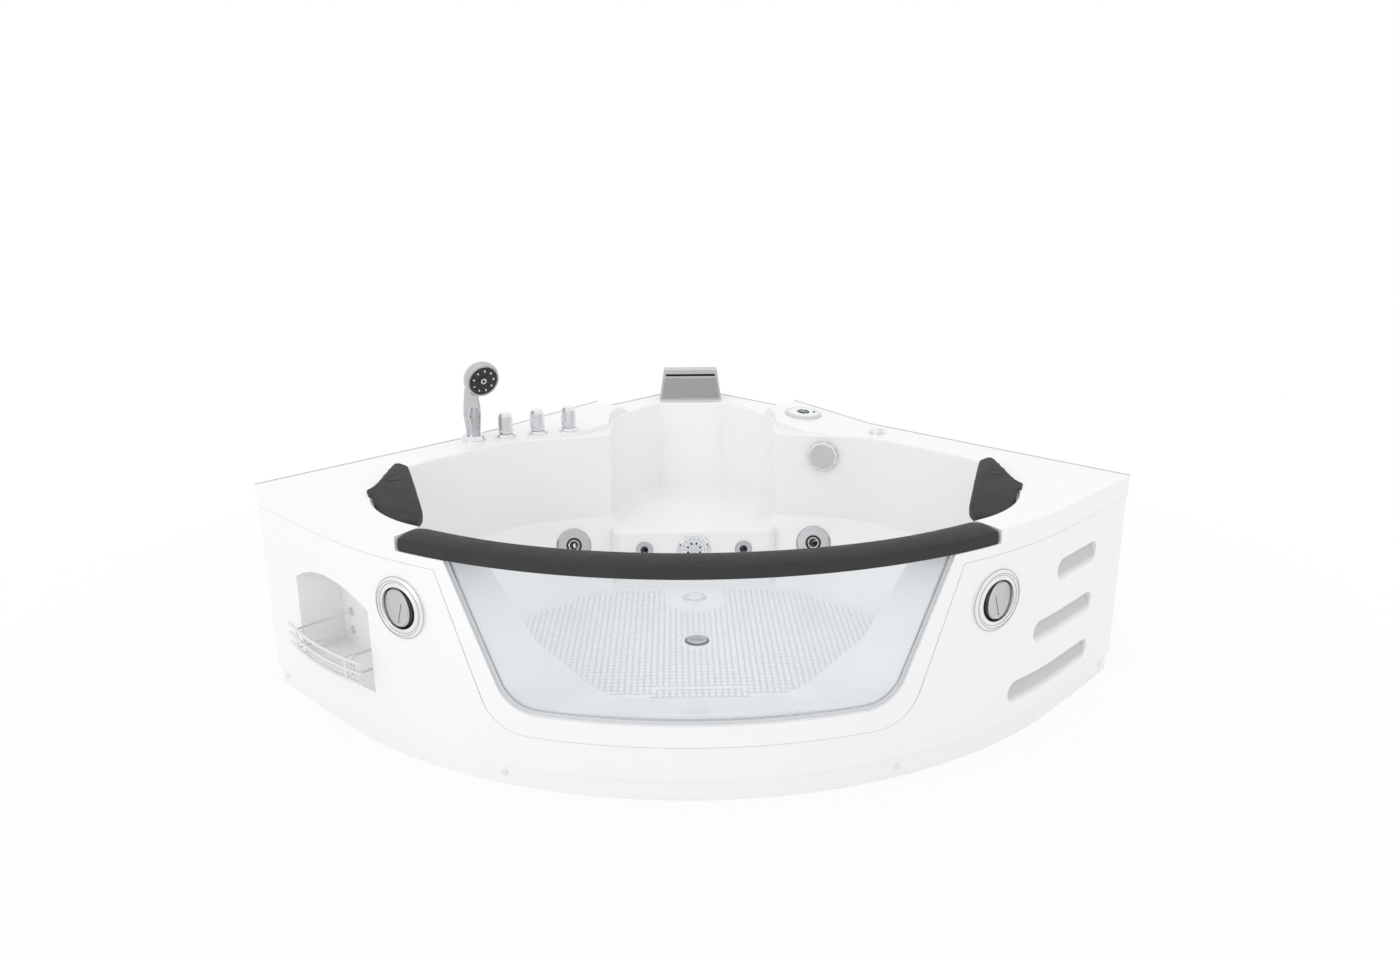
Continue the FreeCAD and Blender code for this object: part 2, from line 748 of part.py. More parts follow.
def wall_spot(x, z):
    """A point on the well's back wall and the direction that points into the bath there."""
    if z > CREASE_HEIGHT:
        low, high = (CREASE_HEIGHT, CREASE_BACK_EDGE), (DECK_HEIGHT, TOP_BACK_EDGE)
    else:
        low, high = (FLOOR_HEIGHT, FLOOR_BACK_EDGE), (CREASE_HEIGHT, CREASE_BACK_EDGE)
    lean = (high[1] - low[1]) / (high[0] - low[0])
    y = low[1] + lean * (z - low[0]) - BACK_TAN * (abs(x) - ALCOVE_HALF)
    side = 1 if x > 0 else -1
    run = V(side * 1.0, -BACK_TAN, 0)
    rise = V(0, lean, 1)
    normal = run.cross(rise) if side > 0 else rise.cross(run)
    return plan(x, y, z), normal.normalize()


def seat_face_spot(x, z):
    fall = (SEAT_FRONT_TOP - SEAT_FRONT_FOOT) / (SEAT_HEIGHT - FLOOR_HEIGHT)
    y = SEAT_FRONT_TOP - fall * (SEAT_HEIGHT - z)
    return plan(x, y, z), V(0, -1, fall).normalize()


JETS = { "left": wall_spot(-BIG_JET_X, BIG_JET_HEIGHT) + (BIG_JET_RADIUS,),
    "right": wall_spot(BIG_JET_X, BIG_JET_HEIGHT) + (BIG_JET_RADIUS,),
    "seat_left": seat_face_spot(-SMALL_JET_X, SMALL_JET_HEIGHT) + (SMALL_JET_RADIUS,),
    "seat_right": seat_face_spot(SMALL_JET_X, SMALL_JET_HEIGHT) + (SMALL_JET_RADIUS,), }
SUCTION = seat_face_spot(0.0, SUCTION_HEIGHT)
OVERFLOW = wall_spot(OVERFLOW_X, OVERFLOW_HEIGHT)
DRAIN = plan(0, DRAIN_Y, FLOOR_HEIGHT)
FLOOR_LAMP = plan(0, FLOOR_LAMP_Y, FLOOR_HEIGHT)
SHOWER = tap_spot(3)


# The basin

def softened_space(top):
    """The bathing space with the seat's front edge rounded."""
    space = bath_space(0.0, top).Solids[0].removeSplitter()
    limit = CHORD_Y + SEAT_FRONT_TOP + SEAT_CORNER + SHELL
    edges = [e for e in space.Edges
             if abs(e.CenterOfMass.z - SEAT_HEIGHT) < 0.5 and e.CenterOfMass.y < limit]
    return space.makeFillet(SEAT_FILLET, edges)


def mouth_edges(shell, space):
    edges = []
    for edge in shell.Edges:
        first, last = edge.ParameterRange
        middle = edge.valueAt((first + last) / 2)
        on_deck = abs(middle.z - DECK_HEIGHT) < 0.01
        if on_deck and Part.Vertex(middle).distToShape(space.Shells[0])[0] < 0.01:
            edges.append(edge)
    return edges


def seat_boss(radius, spot):
    return cylinder(radius + SEAT_MARGIN, spot.z - DECK_UNDER, V(spot.x, spot.y, DECK_UNDER))


def basin_shell():
    top = DECK_HEIGHT + PANEL_WEDGE_RISE + TAP_WEDGE_RISE
    space = softened_space(top)
    deck = prism(deck_outline(0, DECK_UNDER), SHELL)
    core = deck.fuse(bath_space(SHELL, DECK_HEIGHT)).cut(space).Solids[0]
    core = core.makeFillet(MOUTH_FILLET, mouth_edges(core, space))

    raised = [deck_wedge(-1, TAP_WEDGE_START, TAP_WEDGE_PEAK, TAP_WEDGE_RISE),
              deck_wedge(1, PANEL_WEDGE_START, PANEL_WEDGE_PEAK, PANEL_WEDGE_RISE)]
    raised += [seat_boss(ROSETTE_RADIUS, tap_spot(number)) for number in range(TAP_COUNT)]
    raised.append(seat_boss(HOLDER_RADIUS, SHOWER))
    raised = fuse(raised).cut(bath_space(MOUTH_FILLET + SEAT_MARGIN, top))

    skirt = prism(deck_outline(0, RIM_FOOT), RIM_DEPTH - SHELL)
    skirt = skirt.cut(prism(deck_outline(SHELL, RIM_FOOT), RIM_DEPTH))
    pad_inner = FRONT_RADIUS - PAD_WIDTH - SHADOW_GAP
    pad_end = PAD_HALF_ANGLE + EASE
    wall_angle = math.degrees(SHELL / FRONT_RADIUS)
    shelf = sector(pad_inner - SHELL, FRONT_RADIUS, -pad_end - wall_angle, pad_end + wall_angle,
                   PAD_SEAT - SHELL, DECK_UNDER)
    surround = front_drum(FRONT_RADIUS).cut(front_drum(GLASS_BACK - SHELL))
    surround = surround.common(surround_prism(SHADOW_GAP, PAD_SEAT))
    tunnel = reveal(SHELL, PAD_SEAT).common(front_drum(FRONT_RADIUS - SHELL))
    under = fuse([skirt, shelf, surround, tunnel]).cut(space)
    shell = fuse([core, raised, under])

    glass_pocket = front_drum(FRONT_RADIUS + SHELL).cut(front_drum(GLASS_BACK))
    glass_pocket = glass_pocket.common(window_prism(SEAL_WIDTH, SEAL_WIDTH, DECK_HEIGHT + SHELL))
    pad_pocket = sector(pad_inner, FRONT_RADIUS + SHELL, -pad_end, pad_end, PAD_SEAT,
        DECK_HEIGHT + SHELL)
    opening = reveal(0.0, DECK_HEIGHT + SHELL).common(front_drum(GLASS_BACK + EASE))
    shell = shell.cut(fuse([opening, glass_pocket]).fuse(pad_pocket))
    for spot, axis, radius in shell_holes():
        start = spot - axis * HOLE_REACH
        shell = shell.cut(cylinder(radius + HOLE_EASE, 2 * HOLE_REACH, start, axis))
    for spot, normal, radius in JETS.values():
        shell = shell.cut(cylinder(radius + HOLE_EASE, HOLE_REACH, spot, normal))
    return shell


def shell_holes():
    """Every hole through the shell, as a place, a direction and the radius that passes through it."""
    holes = [(tap_spot(number), UP, VALVE_NECK) for number in range(TAP_COUNT)]
    holes += [(SHOWER, UP, HOLDER_TAIL), (panel_spot(), panel_axis(), MODULE_RADIUS),
        (air_spot(), UP, AIR_NECK)]
    holes += [(spout_spot(), UP, SPOUT_INLET_RADIUS), (DRAIN, UP, DRAIN_BORE + DRAIN_WALL)]
    holes += [(FLOOR_LAMP, UP, FLOOR_LAMP_RADIUS - FLANGE_LAP),
        (OVERFLOW[0], OVERFLOW[1], OVERFLOW_BODY_RADIUS)]
    holes += [(spot, axis, barrel_radius(radius)) for spot, axis, radius in JETS.values()]
    holes.append((SUCTION[0], SUCTION[1], SUCTION_BODY_RADIUS))
    return holes


def spout_spot():
    """The middle of the spout's foot."""
    return plan(0, ALCOVE_BACK + SPOUT_SETBACK + SPOUT_DEPTH / 2, DECK_HEIGHT)


def barrel_radius(flange):
    return flange * JET_BARREL


# Window, rail and soft pads

def window_glass():
    glass = front_drum(FRONT_RADIUS - GLASS_INSET).cut(front_drum(FRONT_RADIUS - GLASS_INSET - GLASS))
    return glass.common(window_prism(0.0, 0.0, GLASS_TOP))


def window_seal():
    band = front_drum(FRONT_RADIUS - GLASS_INSET + SEAL_LIP).cut(front_drum(GLASS_BACK))
    frame = window_prism(SEAL_WIDTH, SEAL_WIDTH,
        PAD_SEAT).cut(window_prism(-SEAL_LAP, -SEAL_LAP, DECK_HEIGHT))
    return band.common(frame).cut(window_glass())


def glass_cap_rail():
    outer = FRONT_RADIUS - CAP_RAIL_INSET
    angle = PAD_HALF_ANGLE - math.degrees(PAD_SKIN / FRONT_RADIUS)
    rail = sector(outer - CAP_RAIL_WIDTH, outer, -angle, angle, PAD_SEAT, CAP_RAIL_TOP)
    glass_face = FRONT_RADIUS - GLASS_INSET
    head = WINDOW_FOOT_HALF + (WINDOW_TOP_HALF - WINDOW_FOOT_HALF) * (GLASS_TOP + EASE - WINDOW_SILL) / (
        DECK_HEIGHT - WINDOW_SILL)
    end = math.degrees(math.asin((head + SEAL_WIDTH) / (glass_face - GLASS)))
    slot = sector(glass_face - GLASS - EASE, glass_face + EASE, -end, end, PAD_SEAT - SHELL,
        GLASS_TOP + EASE)
    return rail.cut(slot)


def rail_pad():
    """A foam bar over the cap rail, crowned on top and drawn in along its sides."""
    inner, outer = FRONT_RADIUS - PAD_WIDTH, FRONT_RADIUS
    rail_out = FRONT_RADIUS - CAP_RAIL_INSET + EASE
    rail_in = rail_out - CAP_RAIL_WIDTH - 2 * EASE
    low, high = PAD_SEAT, PAD_SEAT + PAD_THICK
    shoulder = high - PAD_CROWN
    groove = CAP_RAIL_TOP + EASE
    end = math.radians(PAD_HALF_ANGLE)

    def spot(r, z):
        return plan(-r * math.sin(end), ARC_CENTRE - r * math.cos(end), z)
    waist = (low + shoulder) / 2
    edges = [line(spot(inner + PAD_DRAW, low), spot(rail_in, low)),
        line(spot(rail_in, low), spot(rail_in, groove)), line(spot(rail_in, groove),
        spot(rail_out, groove)), line(spot(rail_out, groove), spot(rail_out, low)),
        line(spot(rail_out, low), spot(outer - PAD_DRAW, low)),
        arc(spot(outer - PAD_DRAW, low), spot(outer, waist), spot(outer - PAD_DRAW, shoulder)),
        arc(spot(outer - PAD_DRAW, shoulder), spot((inner + outer) / 2, high),
        spot(inner + PAD_DRAW, shoulder)), arc(spot(inner + PAD_DRAW, shoulder), spot(inner, waist),
        spot(inner + PAD_DRAW, low))]
    section = Part.Face(Part.Wire(edges))
    return section.revolve(plan(0, ARC_CENTRE), UP, 2 * PAD_HALF_ANGLE)


def pillow_spot(side, place, z):
    """A place round the well's end: degrees from straight out, and how far outside the mouth's edge."""
    turn, offset = math.radians(place[0]), place[1]
    cx, cy = round_end(TOP_FRONT_LAND, TOP_WALL_LAND, TOP_CORNER_RADIUS, 0.0)
    reach = TOP_CORNER_RADIUS + offset
    return plan(side * (cx + reach * math.cos(turn)), cy + reach * math.sin(turn), z)


def pillow(side):
    """A headrest over the round end of the well: a lip on the deck, a crowned face that falls inwards."""
    low, high = DECK_HEIGHT - 2 * PILLOW_THICK, DECK_HEIGHT + PILLOW_THICK
    tip, brow, rear_out, rear_in, inside, front_in, front_out, under_rim, notch = [pillow_spot(side,
        place, low) for place in (PILLOW_TIP, PILLOW_BROW, PILLOW_REAR_OUT, PILLOW_REAR_IN,
        PILLOW_INSIDE, PILLOW_FRONT_IN, PILLOW_FRONT_OUT, PILLOW_UNDER_RIM, PILLOW_NOTCH)]
    outline = Part.Wire([
        arc(tip, brow, rear_out), line(rear_out, rear_in), line(rear_in, inside),
        line(inside, front_in),
        line(front_in, front_out), arc(front_out, under_rim, notch), line(notch, tip)])
    block_of_foam = prism(outline, high - low)
    soft = [rear_out, rear_in, inside, front_in]
    corners = [e for e in block_of_foam.Edges
               if any((V(e.CenterOfMass.x, e.CenterOfMass.y, low) - spot).Length < 1 for spot in soft)]
    block_of_foam = block_of_foam.makeFillet(PILLOW_CORNER, corners)

    inward = (inside - brow).normalize()
    fall = math.radians(PILLOW_FALL)
    face = UP * math.cos(fall) + inward * math.sin(fall)
    half = (inside - brow).Length / 2
    middle = brow + inward * half
    middle.z = DECK_HEIGHT + PILLOW_RISE - half * math.tan(fall)
    crown = Part.makeSphere(PILLOW_CROWN_RADIUS, middle + face * (PILLOW_CROWN - PILLOW_CROWN_RADIUS))
    under = placed(cylinder(SIDE, SIDE, V(0, 0, -SIDE)), middle - face * PILLOW_THICK, face)
    foam = block_of_foam.common(crown).cut(under)
    on_deck = foam.common(block(-FAR, FAR, -FAR, FAR, DECK_HEIGHT, high))
    in_well = foam.common(well(-PILLOW_CLEAR, DECK_HEIGHT))
    return on_deck.fuse(in_well).removeSplitter()


# Apron, niche and what is fixed to them

def front_half(z0, z1):
    return block(-FAR, FAR, -FAR, 0, z0, z1)


def skin(inset, thick, z0, z1):
    """A strip of front wall that follows the outline."""
    wall = prism(deck_outline(inset, z0), z1 - z0).cut(prism(deck_outline(inset + thick, z0), z1 - z0))
    return wall.common(front_half(z0, z1))


def end_frame(side):
    """Where the straight end of the front runs into the curve: point, along, and out of the front."""
    point, out = front_spot(side * 45.0, 0.0, 0.0)
    along = V(-side, -1, 0).normalize()
    return point, along, out


def end_wire(side, points, radii):
    """An outline on the tangent plane at an end of the front, from (along, height) points."""
    point, along, out = end_frame(side)
    return rounded([point + along * u + V(0, 0, z) + out * SIDE / 10 for u, z in points], radii)


def end_prism(side, points, radii, depth):
    _, _, out = end_frame(side)
    return Part.Face(end_wire(side, points, radii)).extrude(out * -(depth + SIDE / 10))


def niche_prism(grow, depth):
    """The arched niche as a solid from well outside the front to the given depth."""
    point, along, out = end_frame(-1)

    def spot(u, z):
        return point + along * u + V(0, 0, z) + out * SIDE / 10
    half, sill = NICHE_HALF + grow, NICHE_SILL - grow
    spring, crown = NICHE_SPRING + grow, NICHE_CROWN + grow
    wire = Part.Wire([line(spot(-half, sill), spot(half, sill)),
        line(spot(half, sill), spot(half, spring)), arc(spot(half, spring), spot(0, crown),
        spot(-half, spring)), line(spot(-half, spring), spot(-half, sill))])
    return Part.Face(wire).extrude(out * -(depth + SIDE / 10))


def louvre_prism(row, grow):
    straight = SIDE - FRONT_RADIUS
    start, end = LOUVRE_START - straight, LOUVRE_START + LOUVRE_LENGTHS[row] - straight
    half = LOUVRE_HEIGHT / 2 + grow
    z = LOUVRE_HEIGHTS[row]
    points = [(start - grow, z - half), (end + grow, z - half), (end + grow, z + half),
        (start - grow, z + half)]
    return end_prism(1, points, [half * 0.98] * 4, LOUVRE_DEPTH * 4)


def louvre_scoop(row, grow, face):
    """A louvre's room behind the face of the apron: deepest under its upper edge, running out below."""
    half = LOUVRE_HEIGHT / 2 + grow
    z = LOUVRE_HEIGHTS[row]
    shallow, deep = APRON_INSET + LOUVRE_LIP + grow, APRON_INSET + LOUVRE_DEPTH + grow
    section = [(face, z - half), (shallow, z - half), (deep, z + half), (face, z + half)]
    spots = [front_spot(45.0, inset, height)[0] for inset, height in section]
    slope = Part.Face(Part.makePolygon(spots + spots[:1]))
    _, along, _ = end_frame(1)
    flat = slope.extrude(along * -(SIDE - FRONT_RADIUS))
    round_part = slope.revolve(plan(0, ARC_CENTRE), -UP, LAMP_ANGLE / 2)
    return flat.fuse(round_part).common(louvre_prism(row, grow))


def screw_spots():
    spots = []
    for side in (-1, 1):
        _, _, out = end_frame(side)
        spots.append((along_front(side, SCREW_END, SCREW_HEIGHT) - out * PLINTH_INSET, out))
        spots.append(front_spot(side * SCREW_ANGLE, PLINTH_INSET, SCREW_HEIGHT))
    return spots


def apron_panel():
    top = RIM_FOOT - SHADOW_GAP
    lip_inset = SHELL + EASE
    panel = fuse([
        skin(APRON_INSET, APRON, PLINTH_HEIGHT, top),
        skin(APRON_INSET, PLINTH_INSET - APRON_INSET + APRON, PLINTH_HEIGHT, PLINTH_HEIGHT + APRON),
        skin(PLINTH_INSET, APRON, APRON_FOOT, PLINTH_HEIGHT + APRON),
        skin(APRON_INSET, lip_inset + APRON - APRON_INSET, top - APRON, top),
        skin(lip_inset, APRON, top - APRON, RIM_FOOT + APRON_LIP)])
    panel = panel.cut(surround_prism(0.0, DECK_HEIGHT))
    for row in range(len(LOUVRE_LENGTHS)):
        panel = panel.fuse(louvre_scoop(row, APRON, APRON_INSET)).cut(louvre_scoop(row, 0.0, -SHELL))
    panel = panel.cut(niche_prism(0.0, NICHE_DEPTH))
    for side in (-1, 1):
        spot, out = front_spot(side * LAMP_ANGLE, APRON_INSET, LAMP_HEIGHT)
        panel = panel.cut(cylinder(LAMP_CUP + HOLE_EASE, 2 * HOLE_REACH, spot - out * HOLE_REACH, out))
    for spot, out in screw_spots():
        panel = panel.cut(cylinder(SCREW_RADIUS + HOLE_EASE / 2, 2 * HOLE_REACH,
            spot - out * HOLE_REACH, out))
    return panel.removeSplitter()


def niche_liner():
    inside = prism(deck_outline(APRON_INSET + APRON, 0), DECK_HEIGHT)
    liner = niche_prism(NICHE_WALL, NICHE_DEPTH + NICHE_WALL).cut(niche_prism(0.0, NICHE_DEPTH))
    return liner.common(inside)


def apron_screws():
    shapes = []
    for spot, out in screw_spots():
        cap = turned([(0, 0), (SCREW_CAP_RADIUS, 0), (SCREW_CAP_RADIUS, 1.5),
            (SCREW_CAP_RADIUS - 2, 3.5), (0, 4)])
        shank = cylinder(SCREW_RADIUS, SCREW_LENGTH, V(0, 0, -SCREW_LENGTH))
        shapes.append(placed(cap.fuse(shank).removeSplitter(), spot, out))
    return Part.makeCompound(shapes)


def towel_rack():
    """Three bowed bars on standing rods, held off the back of the niche by four stays."""
    point, along, out = end_frame(-1)
    back = -NICHE_DEPTH + RACK_PLATE
    curve = (RACK_HALF ** 2 + RACK_BOW ** 2) / (2 * RACK_BOW)
    sweep = 2 * math.degrees(math.asin(RACK_HALF / curve))

    def spot(u, depth, z):
        return point + along * u + out * depth + V(0, 0, z)
    heights = [RACK_LOW + i * RACK_SPACING for i in range(RACK_BARS)]
    low, high = heights[0], heights[-1]
    pieces = []
    for z in heights:
        middle, start = spot(0, RACK_REACH - curve, z), spot(-RACK_HALF, RACK_REACH - RACK_BOW, z)
        end = Part.Wire(Part.Circle(start, UP.cross(start - middle), RACK_WIRE / 2).toShape())
        pieces.append(Part.Face(end).revolve(middle, UP, sweep))
    for u in (-RACK_POST_HALF, RACK_POST_HALF):
        bow = RACK_REACH - curve + math.sqrt(curve ** 2 - u ** 2)
        for z in (low, high):
            pieces.append(cylinder(RACK_STAY / 2, bow - back, spot(u, back, z), out))
            pieces.append(cylinder(RACK_FOOT, RACK_PLATE, spot(u, -NICHE_DEPTH, z), out))
        for depth in (bow, bow - 2 * RACK_WIRE):
            pieces.append(cylinder(RACK_POST / 2, high - low, spot(u, depth, low)))
    return fuse(pieces)


def lamp_bezels():
    shapes = []
    bore = LAMP_EYE_RADIUS + LAMP_RUN
    step = LAMP_RADIUS - LAMP_RIM
    for side in (-1, 1):
        spot, out = front_spot(side * LAMP_ANGLE, APRON_INSET, LAMP_HEIGHT)
        rim = turned([(bore, -3), (LAMP_RADIUS, -3), (LAMP_RADIUS, 2), (step, 7), (step - 3, 7),
            (step - 5, 5), (bore + 2, 8), (bore, 7)])
        rim = placed(rim, spot, out).cut(front_drum(FRONT_RADIUS - APRON_INSET))
        cup = ring(LAMP_CUP, bore, LAMP_DEPTH + 4, V(0, 0, -LAMP_DEPTH))
        cup = cup.fuse(cylinder(LAMP_CUP, APRON, V(0, 0, -LAMP_DEPTH - APRON)))
        shapes.append(fuse([rim, placed(cup, spot, out)]))
    return Part.makeCompound(shapes)


def lamp_eye(side):
    spot, out = front_spot(side * LAMP_ANGLE, APRON_INSET, LAMP_HEIGHT)
    ball = Part.makeSphere(LAMP_EYE_RADIUS, V(0, 0, -LAMP_PIVOT))
    keep = cylinder(LAMP_EYE_RADIUS * 2, LAMP_PIVOT + LAMP_PROUD + LAMP_BACK,
        V(0, 0, -LAMP_PIVOT - LAMP_BACK))
    eye = placed(ball.common(keep), spot, out)
    eye.rotate(spot - out * LAMP_PIVOT, UP, side * LAMP_TURN)
    return eye


# Waterfall spout

def spout_front():
    return ALCOVE_BACK + SPOUT_SETBACK


def spout_body():
    front, top = spout_front(), DECK_HEIGHT + SPOUT_HEIGHT
    back = front + SPOUT_DEPTH
    foot = Part.makePolygon([plan(x, y, DECK_HEIGHT) for x, y in (
        (-SPOUT_HALF, front), (SPOUT_HALF, front), (SPOUT_HALF, back), (-SPOUT_HALF, back),
        (-SPOUT_HALF, front))])
    lean = front + SPOUT_LEAN
    head = Part.makePolygon([plan(x, y, top) for x, y in (
        (-SPOUT_TOP_HALF, lean), (SPOUT_TOP_HALF, lean), (SPOUT_TOP_HALF, back),
        (-SPOUT_TOP_HALF, back),
        (-SPOUT_TOP_HALF, lean))])
    body = Part.makeLoft([foot, head], True, True)
    tail = cylinder(SPOUT_INLET_RADIUS, SPOUT_TAIL, spout_spot() - UP * SPOUT_TAIL)
    slot_top = top - SPOUT_SLOT_TOP
    half = SPOUT_TOP_HALF - SPOUT_EDGE
    slot = block(-half, half, front - SHELL, lean + SPOUT_SLOT_DEPTH, slot_top - SPOUT_SLOT_HEIGHT,
        slot_top)
    rise = slot_top - SPOUT_SLOT_HEIGHT / 2 - DECK_HEIGHT + SPOUT_TAIL
    passage = cylinder(SPOUT_PASSAGE, rise, spout_spot() - UP * SPOUT_TAIL)
    return fuse([body, tail]).cut(fuse([slot, passage]))


def spout_face():
    """The brushed plate on the leaning front, below the slot."""
    front = spout_front()
    low, high = SPOUT_EDGE, SPOUT_HEIGHT - SPOUT_SLOT_TOP - SPOUT_SLOT_HEIGHT - SPOUT_EDGE

    def spot(side, rise):
        half = SPOUT_HALF + (SPOUT_TOP_HALF - SPOUT_HALF) * rise / SPOUT_HEIGHT - SPOUT_EDGE
        return plan(side * half, front + SPOUT_LEAN * rise / SPOUT_HEIGHT, DECK_HEIGHT + rise)
    spots = [spot(-1, low), spot(1, low), spot(1, high), spot(-1, high)]
    out = V(0, -SPOUT_HEIGHT, SPOUT_LEAN).normalize()
    return Part.Face(Part.makePolygon(spots + spots[:1])).extrude(out * SPOUT_FACE)


# Taps, valves and filling pipes

def tap_rosettes():
    shapes = []
    bore = VALVE_NECK + EASE
    for number in range(TAP_COUNT):
        disc = turned([(bore, 0), (ROSETTE_RADIUS, 0), (ROSETTE_RADIUS, 3),
            (ROSETTE_RADIUS - 4, ROSETTE_HEIGHT), (bore, ROSETTE_HEIGHT)])
        shapes.append(placed(disc, tap_spot(number), UP))
    return Part.makeCompound(shapes)


def tap_knob(number):
    foot = ROSETTE_HEIGHT + KNOB_GAP
    top = foot + KNOB_HEIGHT
    grip = polygon_bar([(KNOB_RADIUS * 0.9, foot), (KNOB_RADIUS, foot + 8),
        (KNOB_RADIUS * 0.94, top - 8), (KNOB_RADIUS * 0.78, top)], KNOB_FACETS)
    spindle = cylinder(SPINDLE_RADIUS, SPINDLE_DEPTH + 2 * foot, V(0, 0, -SPINDLE_DEPTH))
    return placed(fuse([grip, spindle]), tap_spot(number), UP)


def valve(number, threaded):
    spot = tap_spot(number)
    under = DECK_UNDER - EASE
    foot = V(spot.x, spot.y, under - VALVE_HEIGHT)
    neck = cylinder(VALVE_NECK, spot.z + ROSETTE_HEIGHT - under, V(spot.x, spot.y, under))
    shapes = [neck, cylinder(VALVE_RADIUS, VALVE_HEIGHT, foot)]
    if threaded:
        shapes.append(cylinder(SUPPLY_RADIUS, SUPPLY_LENGTH, foot - UP * SUPPLY_LENGTH))
    bore = cylinder(SPINDLE_RADIUS + SPINDLE_RUN, SPINDLE_DEPTH + ROSETTE_HEIGHT + 1,
        spot - UP * (SPINDLE_DEPTH + 1))
    return fuse(shapes).cut(bore)


def supply_valves():
    return Part.makeCompound([valve(1, True), valve(2, True)])


def diverter_valve():
    return valve(0, False)


def fill_pipes():
    """Copper runs: hot to cold, cold to diverter, diverter along the wall to the spout."""
    level = DECK_UNDER - VALVE_HEIGHT / 2
    valves = [V(tap_spot(n).x, tap_spot(n).y, level) for n in range(TAP_COUNT)]
    runs = []
    for near, far in ((2, 1), (1, 0)):
        step = valves[far] - valves[near]
        runs.append(cylinder(COPPER_PIPE, step.Length, valves[near], step))
    inlet = spout_spot()
    last = V(inlet.x, inlet.y, DECK_HEIGHT - SPOUT_TAIL / 2)
    turn = along_wall(-1, SIDE - FILL_WALL_GAP - 2 * PIPE_BEND, FILL_WALL_GAP, level)
    path = [valves[0], along_wall(-1, TAP_WEDGE_PEAK - WEDGE_WIDTH, FILL_WALL_GAP, level), turn,
            V(last.x - 2 * PIPE_BEND, last.y, last.z), last]
    runs.append(bent_rod(path, COPPER_PIPE, COPPER_PIPE * 2.5))
    bodies = [cylinder(VALVE_RADIUS, VALVE_HEIGHT, v - UP * VALVE_HEIGHT / 2) for v in valves]
    bodies.append(cylinder(SPOUT_INLET_RADIUS, SPOUT_TAIL, inlet - UP * SPOUT_TAIL))
    blocked = Part.makeCompound(bodies)
    return Part.makeCompound([run.cut(blocked).Solids[0] for run in runs])


# Hand shower

def head_direction():
    turn, tilt = math.radians(HEAD_TURN), math.radians(HEAD_TILT)
    return V(math.sin(turn) * math.cos(tilt), -math.cos(turn) * math.cos(tilt), -math.sin(tilt))


def head_spot():
    """The middle of the spray head's back rim."""
    return SHOWER + V(HEAD_SHIFT, 0, HEAD_HEIGHT)


def shower_holder():
    bore = HANDLE_FOOT + HANDLE_CLEAR
    shape = turned([(HOSE_BORE, -HOLDER_DEPTH), (HOLDER_TAIL, -HOLDER_DEPTH), (HOLDER_TAIL, 0),
        (HOLDER_RADIUS, 0), (HOLDER_RADIUS, 4), (HOLDER_RADIUS - 5, HOLDER_HEIGHT),
        (bore, HOLDER_HEIGHT), (bore, HOLDER_FLOOR), (HOSE_BORE, HOLDER_FLOOR)])
    return placed(shape, SHOWER, UP)


def shower_handset():
    foot = HOLDER_FLOOR + EASE
    handle = turned([(0, foot - 30), (HOSE_STUB, foot - 30), (HOSE_STUB, foot), (HANDLE_FOOT, foot),
                     (HANDLE_FOOT, HOLDER_HEIGHT + 6), (HANDLE_BELLY, HANDLE_LENGTH * 0.45),
                     (HANDLE_BELLY - 1, HANDLE_LENGTH * 0.62), (HANDLE_NECK, HANDLE_LENGTH),
                     (0, HANDLE_LENGTH)])
    handle = placed(handle, SHOWER, UP)
    direction = head_direction()
    neck_start = SHOWER + UP * (HANDLE_LENGTH - HANDLE_NECK)
    neck_end = head_spot() + direction * (HEAD_DEPTH * 0.35)
    step = neck_end - neck_start
    neck = cylinder(HANDLE_NECK, step.Length, neck_start, step)
    knuckle = Part.makeSphere(HANDLE_NECK, neck_start)
    recess = SPRAY_RADIUS + SPRAY_RUN
    head = turned([(0, -HEAD_DEPTH * 0.15), (HEAD_RADIUS * 0.55, -HEAD_DEPTH * 0.1),
        (HEAD_RADIUS * 0.88, HEAD_DEPTH * 0.2), (HEAD_RADIUS, HEAD_DEPTH * 0.55),
        (HEAD_RADIUS, HEAD_DEPTH * 0.8), (HEAD_RADIUS - 4, HEAD_DEPTH), (recess, HEAD_DEPTH),
        (recess, HEAD_DEPTH - SPRAY_THICK), (0, HEAD_DEPTH - SPRAY_THICK)])
    head = placed(head, head_spot(), direction)
    return fuse([handle, knuckle, neck, head])


def shower_face():
    low, high = HEAD_DEPTH - SPRAY_THICK + EASE, HEAD_DEPTH + 1
    disc = turned([(0, low), (SPRAY_RADIUS, low), (SPRAY_RADIUS, high - 2), (SPRAY_RADIUS - 3, high),
        (0, high)])
    tips = []
    for i in range(NOZZLE_COUNT):
        a = 2 * math.pi * i / NOZZLE_COUNT
        spot = V(math.cos(a), math.sin(a), 0) * (SPRAY_RADIUS * 0.72) + UP * (high - 1)
        tips.append(cylinder(NOZZLE_RADIUS, 3, spot))
    centre = cylinder(SPRAY_RADIUS * 0.3, 2.5, V(0, 0, high - 1))
    return placed(fuse([disc, centre] + tips), head_spot(), head_direction())


# Control panel, keys and air regulator

